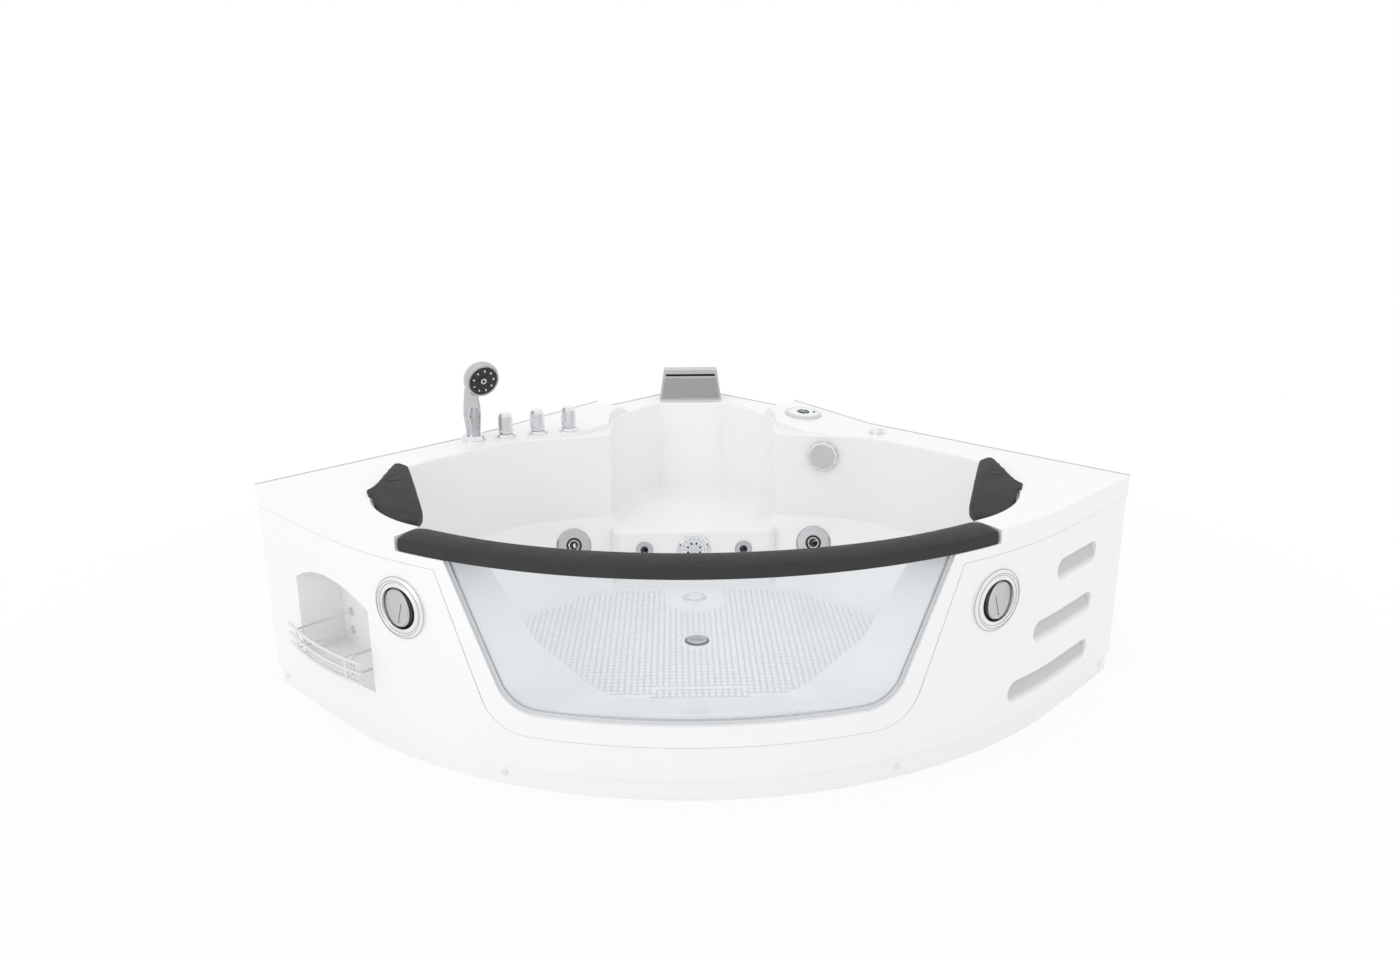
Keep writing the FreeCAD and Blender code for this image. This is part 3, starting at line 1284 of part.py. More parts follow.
def key_sector(index, grow, z0, z1):
    """One petal of the ring of keys."""
    share = 360.0 / KEY_COUNT
    outer, inner = KEY_OUTER + grow, KEY_INNER - grow
    wedge = cylinder(outer, z1 - z0, V(0, 0, z0)).cut(cylinder(inner, z1 - z0, V(0, 0, z0)))
    side = KEY_GAP / 2 - grow
    for turn in (index * share, (index + 1) * share):
        a = math.radians(turn)
        ahead = V(-math.sin(a), math.cos(a), 0) * (1 if turn == index * share else -1)
        base = V(0, 0, z0) + ahead * side
        plate = placed(Part.makeBox(4 * outer, 4 * outer, z1 - z0, V(-2 * outer, -4 * outer, 0)), base,
            UP, ahead.cross(UP))
        wedge = wedge.cut(plate)
    solids = sorted(wedge.Solids, key=lambda solid: solid.Volume)
    return solids[-1]


def control_panel():
    disc = turned([(0, 0), (PANEL_RADIUS, 0), (PANEL_RADIUS, PANEL_THICK - 4),
        (PANEL_RADIUS - 5, PANEL_THICK), (0, PANEL_THICK)])
    for index in range(KEY_COUNT):
        disc = disc.cut(key_sector(index, EASE, -SHELL, PANEL_THICK + SHELL))
    lamp = cylinder(KEY_GAP * 2, 1.0, V(PANEL_RADIUS * 0.52, 0, PANEL_THICK))
    return placed(fuse([disc, lamp]), panel_spot(), panel_axis())


def panel_key(index):
    high = PANEL_THICK + KEY_PROUD
    return placed(key_sector(index, 0.0, high - KEY_DEPTH, high), panel_spot(), panel_axis())


def control_module():
    return cylinder(MODULE_RADIUS, MODULE_HEIGHT, panel_spot() - panel_axis() * MODULE_HEIGHT,
        panel_axis())


def air_regulator_body():
    under = -SHELL - EASE
    shape = turned([(0, -AIR_BODY_HEIGHT), (AIR_BODY_RADIUS, -AIR_BODY_HEIGHT),
        (AIR_BODY_RADIUS, under), (AIR_NECK, under), (AIR_NECK, 0), (AIR_RADIUS, 0),
        (AIR_RADIUS, AIR_FLANGE), (AIR_STEM + SPINDLE_RUN, AIR_FLANGE),
        (AIR_STEM + SPINDLE_RUN, -AIR_STEM_DEPTH - 1), (0, -AIR_STEM_DEPTH - 1)])
    return placed(shape, air_spot(), UP)


def air_regulator_knob():
    low = AIR_FLANGE + EASE
    high = low + AIR_KNOB_HEIGHT
    grip = turned([(0, -AIR_STEM_DEPTH), (AIR_STEM, -AIR_STEM_DEPTH), (AIR_STEM, low),
        (AIR_RADIUS, low), (AIR_RADIUS, high - 3), (AIR_RADIUS - 3, high), (0, high)])
    mark = Part.makeBox(AIR_RADIUS * 0.6, 2.4, 1.2, V(AIR_RADIUS * 0.2, -1.2, high - 0.2))
    return placed(fuse([grip, mark]), air_spot(), UP)


# Overflow, drain and floor lamp

def overflow_body():
    face = OVERFLOW_FLANGE
    stem = OVERFLOW_STEM + SPINDLE_RUN
    flange = OVERFLOW_RADIUS - FLANGE_LAP
    shape = turned([(0, -OVERFLOW_BODY_DEPTH), (OVERFLOW_BODY_RADIUS, -OVERFLOW_BODY_DEPTH),
        (OVERFLOW_BODY_RADIUS, 0), (flange, 0), (flange, face), (stem, face),
        (stem, -OVERFLOW_STEM_DEPTH - 1), (0, -OVERFLOW_STEM_DEPTH - 1)])
    return placed(shape, *OVERFLOW)


def overflow_knob():
    low = OVERFLOW_FLANGE + OVERFLOW_GAP
    high = low + OVERFLOW_KNOB_DEPTH
    grip = polygon_bar([(OVERFLOW_RADIUS * 0.92, low), (OVERFLOW_RADIUS, low + 4),
        (OVERFLOW_RADIUS, high - 4), (OVERFLOW_RADIUS * 0.9, high)], OVERFLOW_FACETS)
    stem = cylinder(OVERFLOW_STEM, OVERFLOW_STEM_DEPTH + low + 1, V(0, 0, -OVERFLOW_STEM_DEPTH))
    return placed(fuse([grip, stem]), *OVERFLOW)


def overflow_path():
    """From the overflow's side, down behind the well, under the frame and to the drain's side."""
    spot, normal = OVERFLOW
    level = TRAP_HEIGHT
    middle = spot - normal * (OVERFLOW_BODY_DEPTH * 0.6)
    beside = V(middle.x + OVERFLOW_BODY_RADIUS + PIPE_BEND - 5, middle.y, middle.z)
    entry = DRAIN.y - OVERFLOW_PIPE / 2
    return [middle, beside, V(beside.x, beside.y, level), V(beside.x, entry, level),
        V(DRAIN.x, entry, level)]


def between_fittings(rod):
    spot, normal = OVERFLOW
    fitting = cylinder(OVERFLOW_BODY_RADIUS, OVERFLOW_BODY_DEPTH + SHELL,
        spot - normal * OVERFLOW_BODY_DEPTH, normal)
    drain = cylinder(DRAIN_BORE + DRAIN_WALL, FLOOR_HEIGHT, V(DRAIN.x, DRAIN.y, 0))
    return rod.cut(Part.makeCompound([fitting, drain])).Solids[0]


def overflow_pipe():
    path = overflow_path()
    outer = bent_rod(path, OVERFLOW_PIPE, PIPE_BEND)
    return between_fittings(outer.cut(bent_rod(path, OVERFLOW_PIPE - PIPE_WALL, PIPE_BEND)))


def plug_cable():
    """The cable that lifts the plug runs inside the overflow pipe."""
    return between_fittings(bent_rod(overflow_path(), CABLE_RADIUS, PIPE_BEND))


def drain_body():
    outer = DRAIN_BORE + DRAIN_WALL
    foot = DRAIN_FOOT - FLOOR_HEIGHT
    tube = turned([(0, foot), (outer, foot), (outer, 0), (DRAIN_RADIUS, 0),
        (DRAIN_RADIUS, DRAIN_FLANGE / 2), (DRAIN_RADIUS - 2, DRAIN_FLANGE), (DRAIN_BORE, DRAIN_FLANGE),
        (DRAIN_BORE, foot + DRAIN_WALL), (0, foot + DRAIN_WALL)])
    low, high = -PLUG_STEM_DEPTH * 0.7, -PLUG_STEM_DEPTH * 0.4
    hub = cylinder(DRAIN_HUB, high - low, V(0, 0, low))
    for i in range(3):
        rib = Part.makeBox(DRAIN_BORE + DRAIN_WALL / 2, DRAIN_RIB, high - low,
            V(0, -DRAIN_RIB / 2, low))
        rib.rotate(V(0, 0, 0), UP, 120.0 * i + 30.0)
        hub = hub.fuse(rib)
    tube = fuse([tube, hub]).cut(cylinder(PLUG_STEM + SPINDLE_RUN, PLUG_STEM_DEPTH,
        V(0, 0, -PLUG_STEM_DEPTH)))
    port = cylinder(TRAP_RADIUS - TRAP_WALL, outer, V(0, 0, TRAP_HEIGHT - FLOOR_HEIGHT), V(0, 1, 0))
    return placed(tube.cut(port), DRAIN, UP)


def drain_plug():
    low = DRAIN_FLANGE + EASE
    shape = turned([(0, -PLUG_STEM_DEPTH), (PLUG_STEM, -PLUG_STEM_DEPTH), (PLUG_STEM, low),
        (PLUG_RADIUS, low), (PLUG_RADIUS, low + PLUG_THICK * 0.4),
        (PLUG_RADIUS * 0.7, low + PLUG_THICK * 0.85), (0, low + PLUG_THICK)])
    return placed(shape, DRAIN, UP)


def waste_trap():
    """A flat pot on the run to the rear corner, with a larger spigot at its end."""
    back = V(0, 1, 0)
    start = V(DRAIN.x, DRAIN.y, TRAP_HEIGHT)
    run = TRAP_END - DRAIN_Y
    depth = 2 * TRAP_RADIUS
    pot = plan(0, TRAP_POT_Y, TRAP_HEIGHT - TRAP_RADIUS)
    spigot = cylinder(SPIGOT_RADIUS, SPIGOT_LENGTH, start + back * (run - SPIGOT_LENGTH), back)
    outer = fuse([cylinder(TRAP_RADIUS, run, start, back), cylinder(TRAP_POT_RADIUS, depth, pot),
        spigot])
    inner = fuse([cylinder(TRAP_RADIUS - TRAP_WALL, run, start, back),
                  cylinder(TRAP_POT_RADIUS - TRAP_WALL, depth - 2 * TRAP_WALL, pot + UP * TRAP_WALL)])
    drain = cylinder(DRAIN_BORE + DRAIN_WALL, FLOOR_HEIGHT, V(DRAIN.x, DRAIN.y, 0))
    return outer.cut(inner).cut(drain).Solids[0]


def floor_lamp():
    body = FLOOR_LAMP_RADIUS - FLANGE_LAP
    seat = FLOOR_LENS_RADIUS + EASE
    shape = turned([(0, -FLOOR_LAMP_DEPTH), (body, -FLOOR_LAMP_DEPTH), (body, 0),
        (FLOOR_LAMP_RADIUS, 0), (FLOOR_LAMP_RADIUS, 1), (FLOOR_LAMP_RADIUS - 2, FLOOR_LAMP_FLANGE),
        (seat, FLOOR_LAMP_FLANGE), (seat, 1), (0, 1)])
    return placed(shape, FLOOR_LAMP, UP)


def floor_lamp_lens():
    shape = turned([(0, 1), (FLOOR_LENS_RADIUS, 1), (FLOOR_LENS_RADIUS, FLOOR_LAMP_FLANGE + 1),
                    (FLOOR_LENS_RADIUS * 0.7, FLOOR_LAMP_FLANGE + 4), (0, FLOOR_LAMP_FLANGE + 5)])
    return placed(shape, FLOOR_LAMP, UP)


# Jets and suction

def jet_body(name):
    spot, normal, radius = JETS[name]
    bore = radius * JET_NOZZLE + JET_RUN
    passage = radius * JET_PASSAGE
    barrel = barrel_radius(radius)
    depth = JET_NOZZLE_DEPTH
    shape = turned([(passage, -JET_BODY_DEPTH), (barrel, -JET_BODY_DEPTH), (barrel, 0), (radius, 0),
                    (radius, JET_FLANGE * 0.4), (radius * 0.9, JET_FLANGE), (bore, JET_FLANGE),
                    (bore, -depth),
                    (passage, -depth)])
    return placed(shape, spot, normal)


def jet_bodies():
    return Part.makeCompound([jet_body(name) for name in JETS])


def jet_nozzle(name):
    """A turning insert whose opening stands off its middle."""
    spot, normal, radius = JETS[name]
    rim = radius * JET_NOZZLE
    low = -JET_NOZZLE_DEPTH + EASE
    shape = turned([(0, low), (rim, low), (rim, JET_FLANGE), (rim * 0.85, JET_FLANGE + 1.5),
        (rim * 0.7, JET_FLANGE - 2), (0, JET_FLANGE - 2)])
    hole = cylinder(rim * 0.35, 3 * JET_NOZZLE_DEPTH, V(rim * 0.25, 0, -2 * JET_NOZZLE_DEPTH))
    return placed(shape.cut(hole), spot, normal)


def suction_body():
    bore = SUCTION_PIPE - PIPE_WALL
    shape = turned([(bore, -SUCTION_BODY_DEPTH), (SUCTION_BODY_RADIUS, -SUCTION_BODY_DEPTH),
        (SUCTION_BODY_RADIUS, 0), (SUCTION_RADIUS, 0), (SUCTION_RADIUS, SUCTION_FLANGE * 0.5),
        (SUCTION_RADIUS - 2, SUCTION_FLANGE), (bore, SUCTION_FLANGE)])
    return placed(shape, *SUCTION)


def suction_cover():
    rim = SUCTION_RADIUS - 4
    high = SUCTION_FLANGE + SUCTION_COVER
    disc = turned([(0, SUCTION_FLANGE), (rim, SUCTION_FLANGE), (rim, high - 3), (rim - 6, high),
        (0, high + 1)])
    slots = []
    for i in range(SUCTION_SLOTS):
        slot = Part.makeBox(rim * 0.5, 5, 4 * SUCTION_COVER, V(rim * 0.32, -2.5, 0))
        slot.rotate(V(0, 0, 0), UP, 360.0 * i / SUCTION_SLOTS + 180.0 / SUCTION_SLOTS)
        slots.append(slot)
    return placed(disc.cut(Part.makeCompound(slots)), *SUCTION)


# Frame and feet

def beam(x0, x1, y0, y1, z0, z1):
    """A square tube, open at both ends, along its longest side."""
    spans = [x1 - x0, y1 - y0, z1 - z0]
    long = spans.index(max(spans))
    low, high = [x0, y0, z0], [x1, y1, z1]
    inner_low = [v - BEAM if i == long else v + BEAM_WALL for i, v in enumerate(low)]
    inner_high = [v + BEAM if i == long else v - BEAM_WALL for i, v in enumerate(high)]
    outer = block(low[0], high[0], low[1], high[1], low[2], high[2])
    return outer.cut(block(inner_low[0], inner_high[0], inner_low[1], inner_high[1], inner_low[2],
        inner_high[2]))


def cross(half, y):
    return beam(-half, half, y - BEAM / 2, y + BEAM / 2, FRAME_HEIGHT, FRAME_TOP)


def rail(x, y0, y1):
    return beam(x - BEAM / 2, x + BEAM / 2, y0, y1, FRAME_HEIGHT, FRAME_TOP)


def post(x, y):
    return beam(x - BEAM / 2, x + BEAM / 2, y - BEAM / 2, y + BEAM / 2, FRAME_TOP, DECK_UNDER)


def foot_spots():
    spots = []
    for half, y in ((FRAME_FRONT_HALF, FRAME_FRONT), (FRAME_BACK_HALF, FRAME_BACK),
        (FRAME_REAR_HALF, FRAME_REAR)):
        spots += [plan(side * (half - BEAM), y) for side in (-1, 1)]
    spots.append(plan(REAR_RAIL_X, REAR_POST_Y - BEAM))
    return spots


def steel_frame():
    side_end = FRAME_BACK_HALF - BEAM / 2
    parts = [cross(FRAME_FRONT_HALF, FRAME_FRONT), cross(FRAME_BACK_HALF, FRAME_BACK),
        cross(FRAME_REAR_HALF, FRAME_REAR), rail(-FRAME_RAIL_X, FRAME_RAIL_FRONT, FRAME_REAR),
        rail(FRAME_RAIL_X, FRAME_RAIL_FRONT, FRAME_REAR), rail(PUMP_RAIL_X, FRAME_FRONT,
        PUMP_RAIL_END), rail(REAR_RAIL_X, FRAME_REAR, REAR_POST_Y + BEAM / 2),
        post(-side_end, FRAME_BACK), post(side_end, FRAME_BACK), post(REAR_RAIL_X, REAR_POST_Y)]
    pad = FLOOR_PAD / 2
    for x in (-FRAME_RAIL_X, FRAME_RAIL_X):
        for y in (FRAME_FRONT, FRAME_BACK):
            parts.append(block(x - pad, x + pad, y - pad, y + pad, FRAME_TOP, FLOOR_HEIGHT - SHELL))
    frame = fuse(parts)
    holes = [cylinder(FOOT_ROD + HOLE_EASE, ROD_TOP - FRAME_HEIGHT + BEAM_WALL,
        spot + UP * FRAME_HEIGHT) for spot in foot_spots()]
    return frame.cut(Part.makeCompound(holes))


def levelling_feet():
    shape = turned([(0, 0), (FOOT_RADIUS, 0), (FOOT_RADIUS, FOOT_PAD * 0.5),
        (FOOT_RADIUS * 0.5, FOOT_PAD), (FOOT_ROD, FOOT_PAD), (FOOT_ROD, ROD_TOP), (0, ROD_TOP)])
    return Part.makeCompound([placed(shape, spot, UP) for spot in foot_spots()])


def foot_nuts():
    corner = NUT_FLAT / math.sqrt(3)
    nut = polygon_bar([(corner, FRAME_HEIGHT - NUT_HEIGHT), (corner, FRAME_HEIGHT)], 6)
    nut = nut.cut(cylinder(FOOT_ROD + SPINDLE_RUN, 2 * FRAME_HEIGHT))
    return Part.makeCompound([placed(nut, spot, UP) for spot in foot_spots()])


# Pump, with its shaft along the right-hand wall


def pump_spot(run, rise=0.0):
    return along_wall(1, PUMP_START + run, PUMP_WALL_GAP, PUMP_AXIS + rise)


PUMP_DIRECTION = (pump_spot(1.0) - pump_spot(0.0)).normalize()
PUMP_SIDE = UP.cross(PUMP_DIRECTION)


def pump_placed(shape):
    """From the pump's own frame: +Z along the shaft, +Y up."""
    return placed(shape, pump_spot(0.0), PUMP_DIRECTION, PUMP_SIDE)


def pump_body():
    """The wet end: inlet on the end, outlet on top."""
    start, end = MOTOR_DEPTH, PUMP_LENGTH
    inlet = SUCTION_PIPE - PIPE_WALL
    shell = cylinder(VOLUTE_RADIUS, VOLUTE_DEPTH, V(0, 0, start))
    outlet_z = start + VOLUTE_DEPTH / 2
    outlet_height = VOLUTE_RADIUS + PUMP_OUTLET_RISE
    shell = shell.fuse(cylinder(PRESSURE_PIPE + PIPE_WALL, outlet_height, V(0, 0, outlet_z),
        V(0, 1, 0)))
    hollow = cylinder(VOLUTE_RADIUS - PUMP_WALL, VOLUTE_DEPTH - 2 * PUMP_WALL,
        V(0, 0, start + PUMP_WALL))
    hollow = hollow.fuse(cylinder(PRESSURE_PIPE - PIPE_WALL, 2 * outlet_height, V(0, 0, outlet_z),
        V(0, 1, 0)))
    hollow = hollow.fuse(cylinder(inlet, VOLUTE_DEPTH, V(0, 0, end - VOLUTE_DEPTH / 2)))
    shaft = cylinder(SHAFT_RADIUS + SHAFT_RUN, VOLUTE_DEPTH / 2, V(0, 0, start - VOLUTE_DEPTH / 4))
    return pump_placed(shell.cut(hollow).cut(shaft).removeSplitter())


def pump_motor():
    """Motor casing with its feet, base plate and terminal box."""
    casing = cylinder(MOTOR_RADIUS, MOTOR_DEPTH)
    hollow = cylinder(MOTOR_RADIUS - PUMP_WALL, MOTOR_DEPTH - 2 * PUMP_WALL, V(0, 0, PUMP_WALL))
    shaft = cylinder(SHAFT_RADIUS + SHAFT_RUN, MOTOR_DEPTH + 2 * PUMP_WALL, V(0, 0, -PUMP_WALL))
    plate_low = -VOLUTE_RADIUS - PUMP_PLATE
    half = MOTOR_RADIUS * 0.8
    plate = Part.makeBox(2 * half, PUMP_PLATE, PUMP_LENGTH - 2 * PUMP_WALL,
        V(-half, plate_low, PUMP_WALL))
    feet = []
    for z in (MOTOR_DEPTH * 0.2, MOTOR_DEPTH * 0.75):
        feet.append(Part.makeBox(2 * half * 0.8, VOLUTE_RADIUS, PUMP_WALL * 2,
            V(-half * 0.8, -VOLUTE_RADIUS, z)))
    box_half = TERMINAL_BOX / 2
    box = Part.makeBox(TERMINAL_BOX, MOTOR_RADIUS + box_half, TERMINAL_BOX * 1.4,
        V(-box_half, 0, MOTOR_DEPTH * 0.3))
    gland_spot = V(-box_half, MOTOR_RADIUS + box_half / 2, MOTOR_DEPTH * 0.3 + TERMINAL_BOX * 0.7)
    to_wall = V(-1, 0, 0)
    gland = cylinder(GLAND_RADIUS + PIPE_WALL, TERMINAL_BOX * 0.4, gland_spot, to_wall)
    motor = fuse([casing, plate, box, gland] + feet)
    bore = cylinder(GLAND_RADIUS, TERMINAL_BOX * 0.8, gland_spot - to_wall * (TERMINAL_BOX * 0.4),
        to_wall)
    return pump_placed(motor.cut(hollow).cut(shaft).cut(bore).removeSplitter())


def pump_rotor():
    """Shaft, fan, armature and impeller, which turn together."""
    impeller_low = MOTOR_DEPTH + 3 * PUMP_WALL
    parts = [cylinder(SHAFT_RADIUS, PUMP_LENGTH - VOLUTE_DEPTH / 2),
             cylinder(ROTOR_RADIUS, MOTOR_DEPTH * 0.45, V(0, 0, MOTOR_DEPTH * 0.35)),
             cylinder(FAN_RADIUS * 0.4, 4 * PUMP_WALL, V(0, 0, 3 * PUMP_WALL)),
             cylinder(IMPELLER_RADIUS, PUMP_WALL, V(0, 0, impeller_low))]
    for i in range(6):
        blade = Part.makeBox(FAN_RADIUS, PUMP_WALL / 2, 4 * PUMP_WALL, V(0, 0, 3 * PUMP_WALL))
        vane = Part.makeBox(IMPELLER_RADIUS * 0.7, PUMP_WALL / 2, IMPELLER_DEPTH,
            V(IMPELLER_RADIUS * 0.25, 0, impeller_low))
        for shape in (blade, vane):
            shape.rotate(V(0, 0, 0), UP, 60.0 * i)
            parts.append(shape)
    return pump_placed(fuse(parts))


# Pipes between pump, jets and suction


def suction_pipe():
    spot, normal = SUCTION
    start = spot - normal * SUCTION_BODY_DEPTH
    turn = start - normal * (SUCTION_BODY_DEPTH * 2)
    inlet = pump_spot(PUMP_LENGTH)
    by_wall = along_wall(1, SIDE * 0.6, SUCTION_WALL_GAP, turn.z)
    leave = along_wall(1, PUMP_START + PUMP_LENGTH + 5 * PIPE_BEND, SUCTION_WALL_GAP, turn.z)
    path = [start, turn, by_wall, leave, inlet + PUMP_DIRECTION * (2 * PIPE_BEND), inlet]
    return bent_rod(path, SUCTION_PIPE, PIPE_BEND).cut(bent_rod(path, SUCTION_PIPE - PIPE_WALL,
        PIPE_BEND))


def pressure_manifold():
    """One row of tees under the jets and a riser along the wall to the pump's outlet."""
    outlet = pump_spot(MOTOR_DEPTH + VOLUTE_DEPTH / 2, VOLUTE_RADIUS + PUMP_OUTLET_RISE)
    stubs = []
    for spot, normal, radius in JETS.values():
        rear = spot - normal * JET_BODY_DEPTH
        behind = rear - normal * JET_STUB_RUN
        low = plan(behind.x, PRESSURE_ROW, PRESSURE_LEVEL)
        stubs.append(([rear, behind, low], min(JET_STUB, barrel_radius(radius) - PIPE_WALL)))
    end_x = HALF_DIAGONAL - PRESSURE_ROW - PRESSURE_WALL_GAP * ROOT2
    along = (HALF_DIAGONAL - end_x + PRESSURE_ROW) / ROOT2
    rise = along_wall(1, along, PRESSURE_WALL_GAP, PRESSURE_LEVEL)
    top = along_wall(1, along, PRESSURE_WALL_GAP, PRESSURE_RISE)
    over = V(outlet.x, outlet.y, PRESSURE_RISE)
    first = plan(min(path[2].x for path, _ in stubs) - JET_STUB, PRESSURE_ROW, PRESSURE_LEVEL)
    main = [first, rise, top, over, outlet]

    def tubes(less):
        shapes = [bent_rod(main, PRESSURE_PIPE - less, PRESSURE_PIPE + 2)]
        shapes += [bent_rod(path, radius - less, JET_STUB + 2) for path, radius in stubs]
        return fuse(shapes)
    return tubes(0.0).cut(tubes(PIPE_WALL))


def air_manifold():
    """From the air regulator along the wall, down behind the well and along the tops of the jets."""
    start = air_spot() - UP * AIR_BODY_HEIGHT
    barrels = Part.makeCompound([jet_outer(name) for name in JETS])
    stubs = []
    for spot, normal, radius in JETS.values():
        back = (plan(0, AIR_ROW).y - spot.y) / -normal.y
        axis_point = spot - normal * back
        drop = AIR_LEVEL - axis_point.z
        stubs.append(cylinder(AIR_STUB, drop, axis_point))
    last_x = max(stub.CenterOfMass.x for stub in stubs) + 2 * AIR_PIPE
    first_x = min(stub.CenterOfMass.x for stub in stubs) - AIR_PIPE
    shelf = V(start.x, start.y, AIR_HIGH)
    run_end = along_wall(1, SIDE * 0.54, AIR_WALL_GAP, AIR_HIGH)
    path = [start, shelf, run_end, plan(last_x, AIR_ROW, AIR_HIGH), plan(last_x, AIR_ROW, AIR_LEVEL),
            plan(first_x, AIR_ROW, AIR_LEVEL)]
    tube = bent_rod(path, AIR_PIPE - 1, 2 * AIR_PIPE)
    return fuse([tube] + stubs).cut(barrels)


def jet_outer(name):
    spot, normal, radius = JETS[name]
    return cylinder(barrel_radius(radius), JET_BODY_DEPTH, spot - normal * JET_BODY_DEPTH, normal)


PIECES = { "basin_shell": basin_shell, "apron_panel": apron_panel, "niche_liner": niche_liner,
    "apron_screws": apron_screws, "towel_rack": towel_rack, "lamp_bezels": lamp_bezels,
    "lamp_eye_left": lambda: lamp_eye(-1), "lamp_eye_right": lambda: lamp_eye(1),
    "window_glass": window_glass, "window_seal": window_seal, "glass_cap_rail": glass_cap_rail,
    "rail_pad": rail_pad, "pillow_left": lambda: pillow(-1), "pillow_right": lambda: pillow(1),
    "spout_body": spout_body, "spout_face": spout_face, "tap_rosettes": tap_rosettes,
    "tap_knob_diverter": lambda: tap_knob(0), "tap_knob_cold": lambda: tap_knob(1),
    "tap_knob_hot": lambda: tap_knob(2), "supply_valves": supply_valves,
    "diverter_valve": diverter_valve, "fill_pipes": fill_pipes, "shower_holder": shower_holder,
    "shower_handset": shower_handset, "shower_face": shower_face, "control_panel": control_panel,
    "panel_key_1": lambda: panel_key(0), "panel_key_2": lambda: panel_key(1),
    "panel_key_3": lambda: panel_key(2), "panel_key_4": lambda: panel_key(3),
    "panel_key_5": lambda: panel_key(4), "control_module": control_module,
    "air_regulator_body": air_regulator_body, "air_regulator_knob": air_regulator_knob,
    "overflow_body": overflow_body, "overflow_knob": overflow_knob, "overflow_pipe": overflow_pipe,
    "plug_cable": plug_cable, "drain_body": drain_body, "drain_plug": drain_plug,
    "waste_trap": waste_trap, "floor_lamp": floor_lamp, "floor_lamp_lens": floor_lamp_lens,
    "jet_bodies": jet_bodies, "jet_nozzle_left": lambda: jet_nozzle("left"),
    "jet_nozzle_right": lambda: jet_nozzle("right"),
    "jet_nozzle_seat_left": lambda: jet_nozzle("seat_left"),
    "jet_nozzle_seat_right": lambda: jet_nozzle("seat_right"), "suction_body": suction_body,
    "suction_cover": suction_cover, "steel_frame": steel_frame, "levelling_feet": levelling_feet,
    "foot_nuts": foot_nuts, "pump_body": pump_body, "pump_motor": pump_motor, "pump_rotor": pump_rotor,
    "suction_pipe": suction_pipe, "pressure_manifold": pressure_manifold, "air_manifold": air_manifold,
    }


def export_all():
    os.makedirs("parts", exist_ok=True)
    for name, make in PIECES.items():
        make().exportStep("parts/" + name + ".step")


export_all()
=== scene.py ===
# %% [markdown]
# # A jetted corner bath, dressed
#
# The bath stands in a room corner. A white moulded basin carries a curved window at the front, a soft
# bar over the window, two headrests, a wide spout, taps, jets and lamps. The hard pieces come ready
# made as a fixed frame, in metres. This lesson gives them their finishes and adds what a solid model
# can't say well: foam, grip studs, fine trim, gaskets and light.

# %% Load the fixed frame
import bpy
import bmesh
import json
import math
from mathutils import Matrix, Vector
from mathutils.bvhtree import BVHTree


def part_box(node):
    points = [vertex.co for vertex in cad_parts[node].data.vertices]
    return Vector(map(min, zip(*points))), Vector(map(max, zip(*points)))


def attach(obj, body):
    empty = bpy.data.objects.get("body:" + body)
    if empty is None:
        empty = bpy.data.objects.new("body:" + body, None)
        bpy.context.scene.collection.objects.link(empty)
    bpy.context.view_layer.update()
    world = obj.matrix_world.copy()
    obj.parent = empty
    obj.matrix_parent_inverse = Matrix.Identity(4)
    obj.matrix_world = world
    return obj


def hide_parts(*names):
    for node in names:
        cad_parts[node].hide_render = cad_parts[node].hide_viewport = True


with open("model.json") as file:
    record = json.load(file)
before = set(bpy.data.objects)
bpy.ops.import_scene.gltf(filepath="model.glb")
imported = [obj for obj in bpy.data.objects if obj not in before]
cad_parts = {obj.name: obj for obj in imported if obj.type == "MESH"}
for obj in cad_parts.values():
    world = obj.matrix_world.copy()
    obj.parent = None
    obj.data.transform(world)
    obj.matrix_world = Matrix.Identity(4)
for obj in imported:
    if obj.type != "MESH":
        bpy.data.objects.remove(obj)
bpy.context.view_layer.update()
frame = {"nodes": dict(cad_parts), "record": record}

# %% [markdown]
# ## Where the viewer stands
#
# The photograph was taken from standing height, a little left of the middle, looking down at the window.
# A camera could be aimed with a Track To constraint. Here its three axes are worked out from yaw, pitch
# and roll, because those are what a fit of the bath's corners gives.

# %% Set up the camera
EYE = Vector((-0.0472, -2.7793, 1.2940))
YAW, PITCH, ROLL = math.radians(1.28), math.radians(16.92), math.radians(-0.22)
LENS, SENSOR = 28.11, 36.0

ahead = Vector((math.sin(YAW) * math.cos(PITCH), math.cos(YAW) * math.cos(PITCH), -math.sin(PITCH)))
level = Vector((math.cos(YAW), -math.sin(YAW), 0.0))
lift = level.cross(ahead)
across = level * math.cos(ROLL) + lift * math.sin(ROLL)
upward = lift * math.cos(ROLL) - level * math.sin(ROLL)

viewer = bpy.data.objects.new("viewer", bpy.data.cameras.new("viewer"))
viewer.data.lens = LENS
viewer.data.sensor_width = SENSOR
viewer.data.sensor_fit = "HORIZONTAL"
viewer.data.clip_end = 60.0
turn = Matrix((across, upward, -ahead)).transposed().to_4x4()
viewer.matrix_world = Matrix.Translation(EYE) @ turn
bpy.context.scene.collection.objects.link(viewer)
bpy.context.scene.camera = viewer
bpy.context.scene.view_settings.view_transform = "Standard"
print("camera at", tuple(round(v, 3) for v in EYE), "lens", LENS)

# %% [markdown]
# ## Sums on sockets
#
# A finish is a small graph of nodes. Adding each node by hand hides the idea behind it, so one class
# wraps a socket and takes part in Python sums: `0.2 + 0.1 * grain` adds two Math nodes. Every other
# node comes from the one method `node`, which sets the node up first and then fills its inputs.

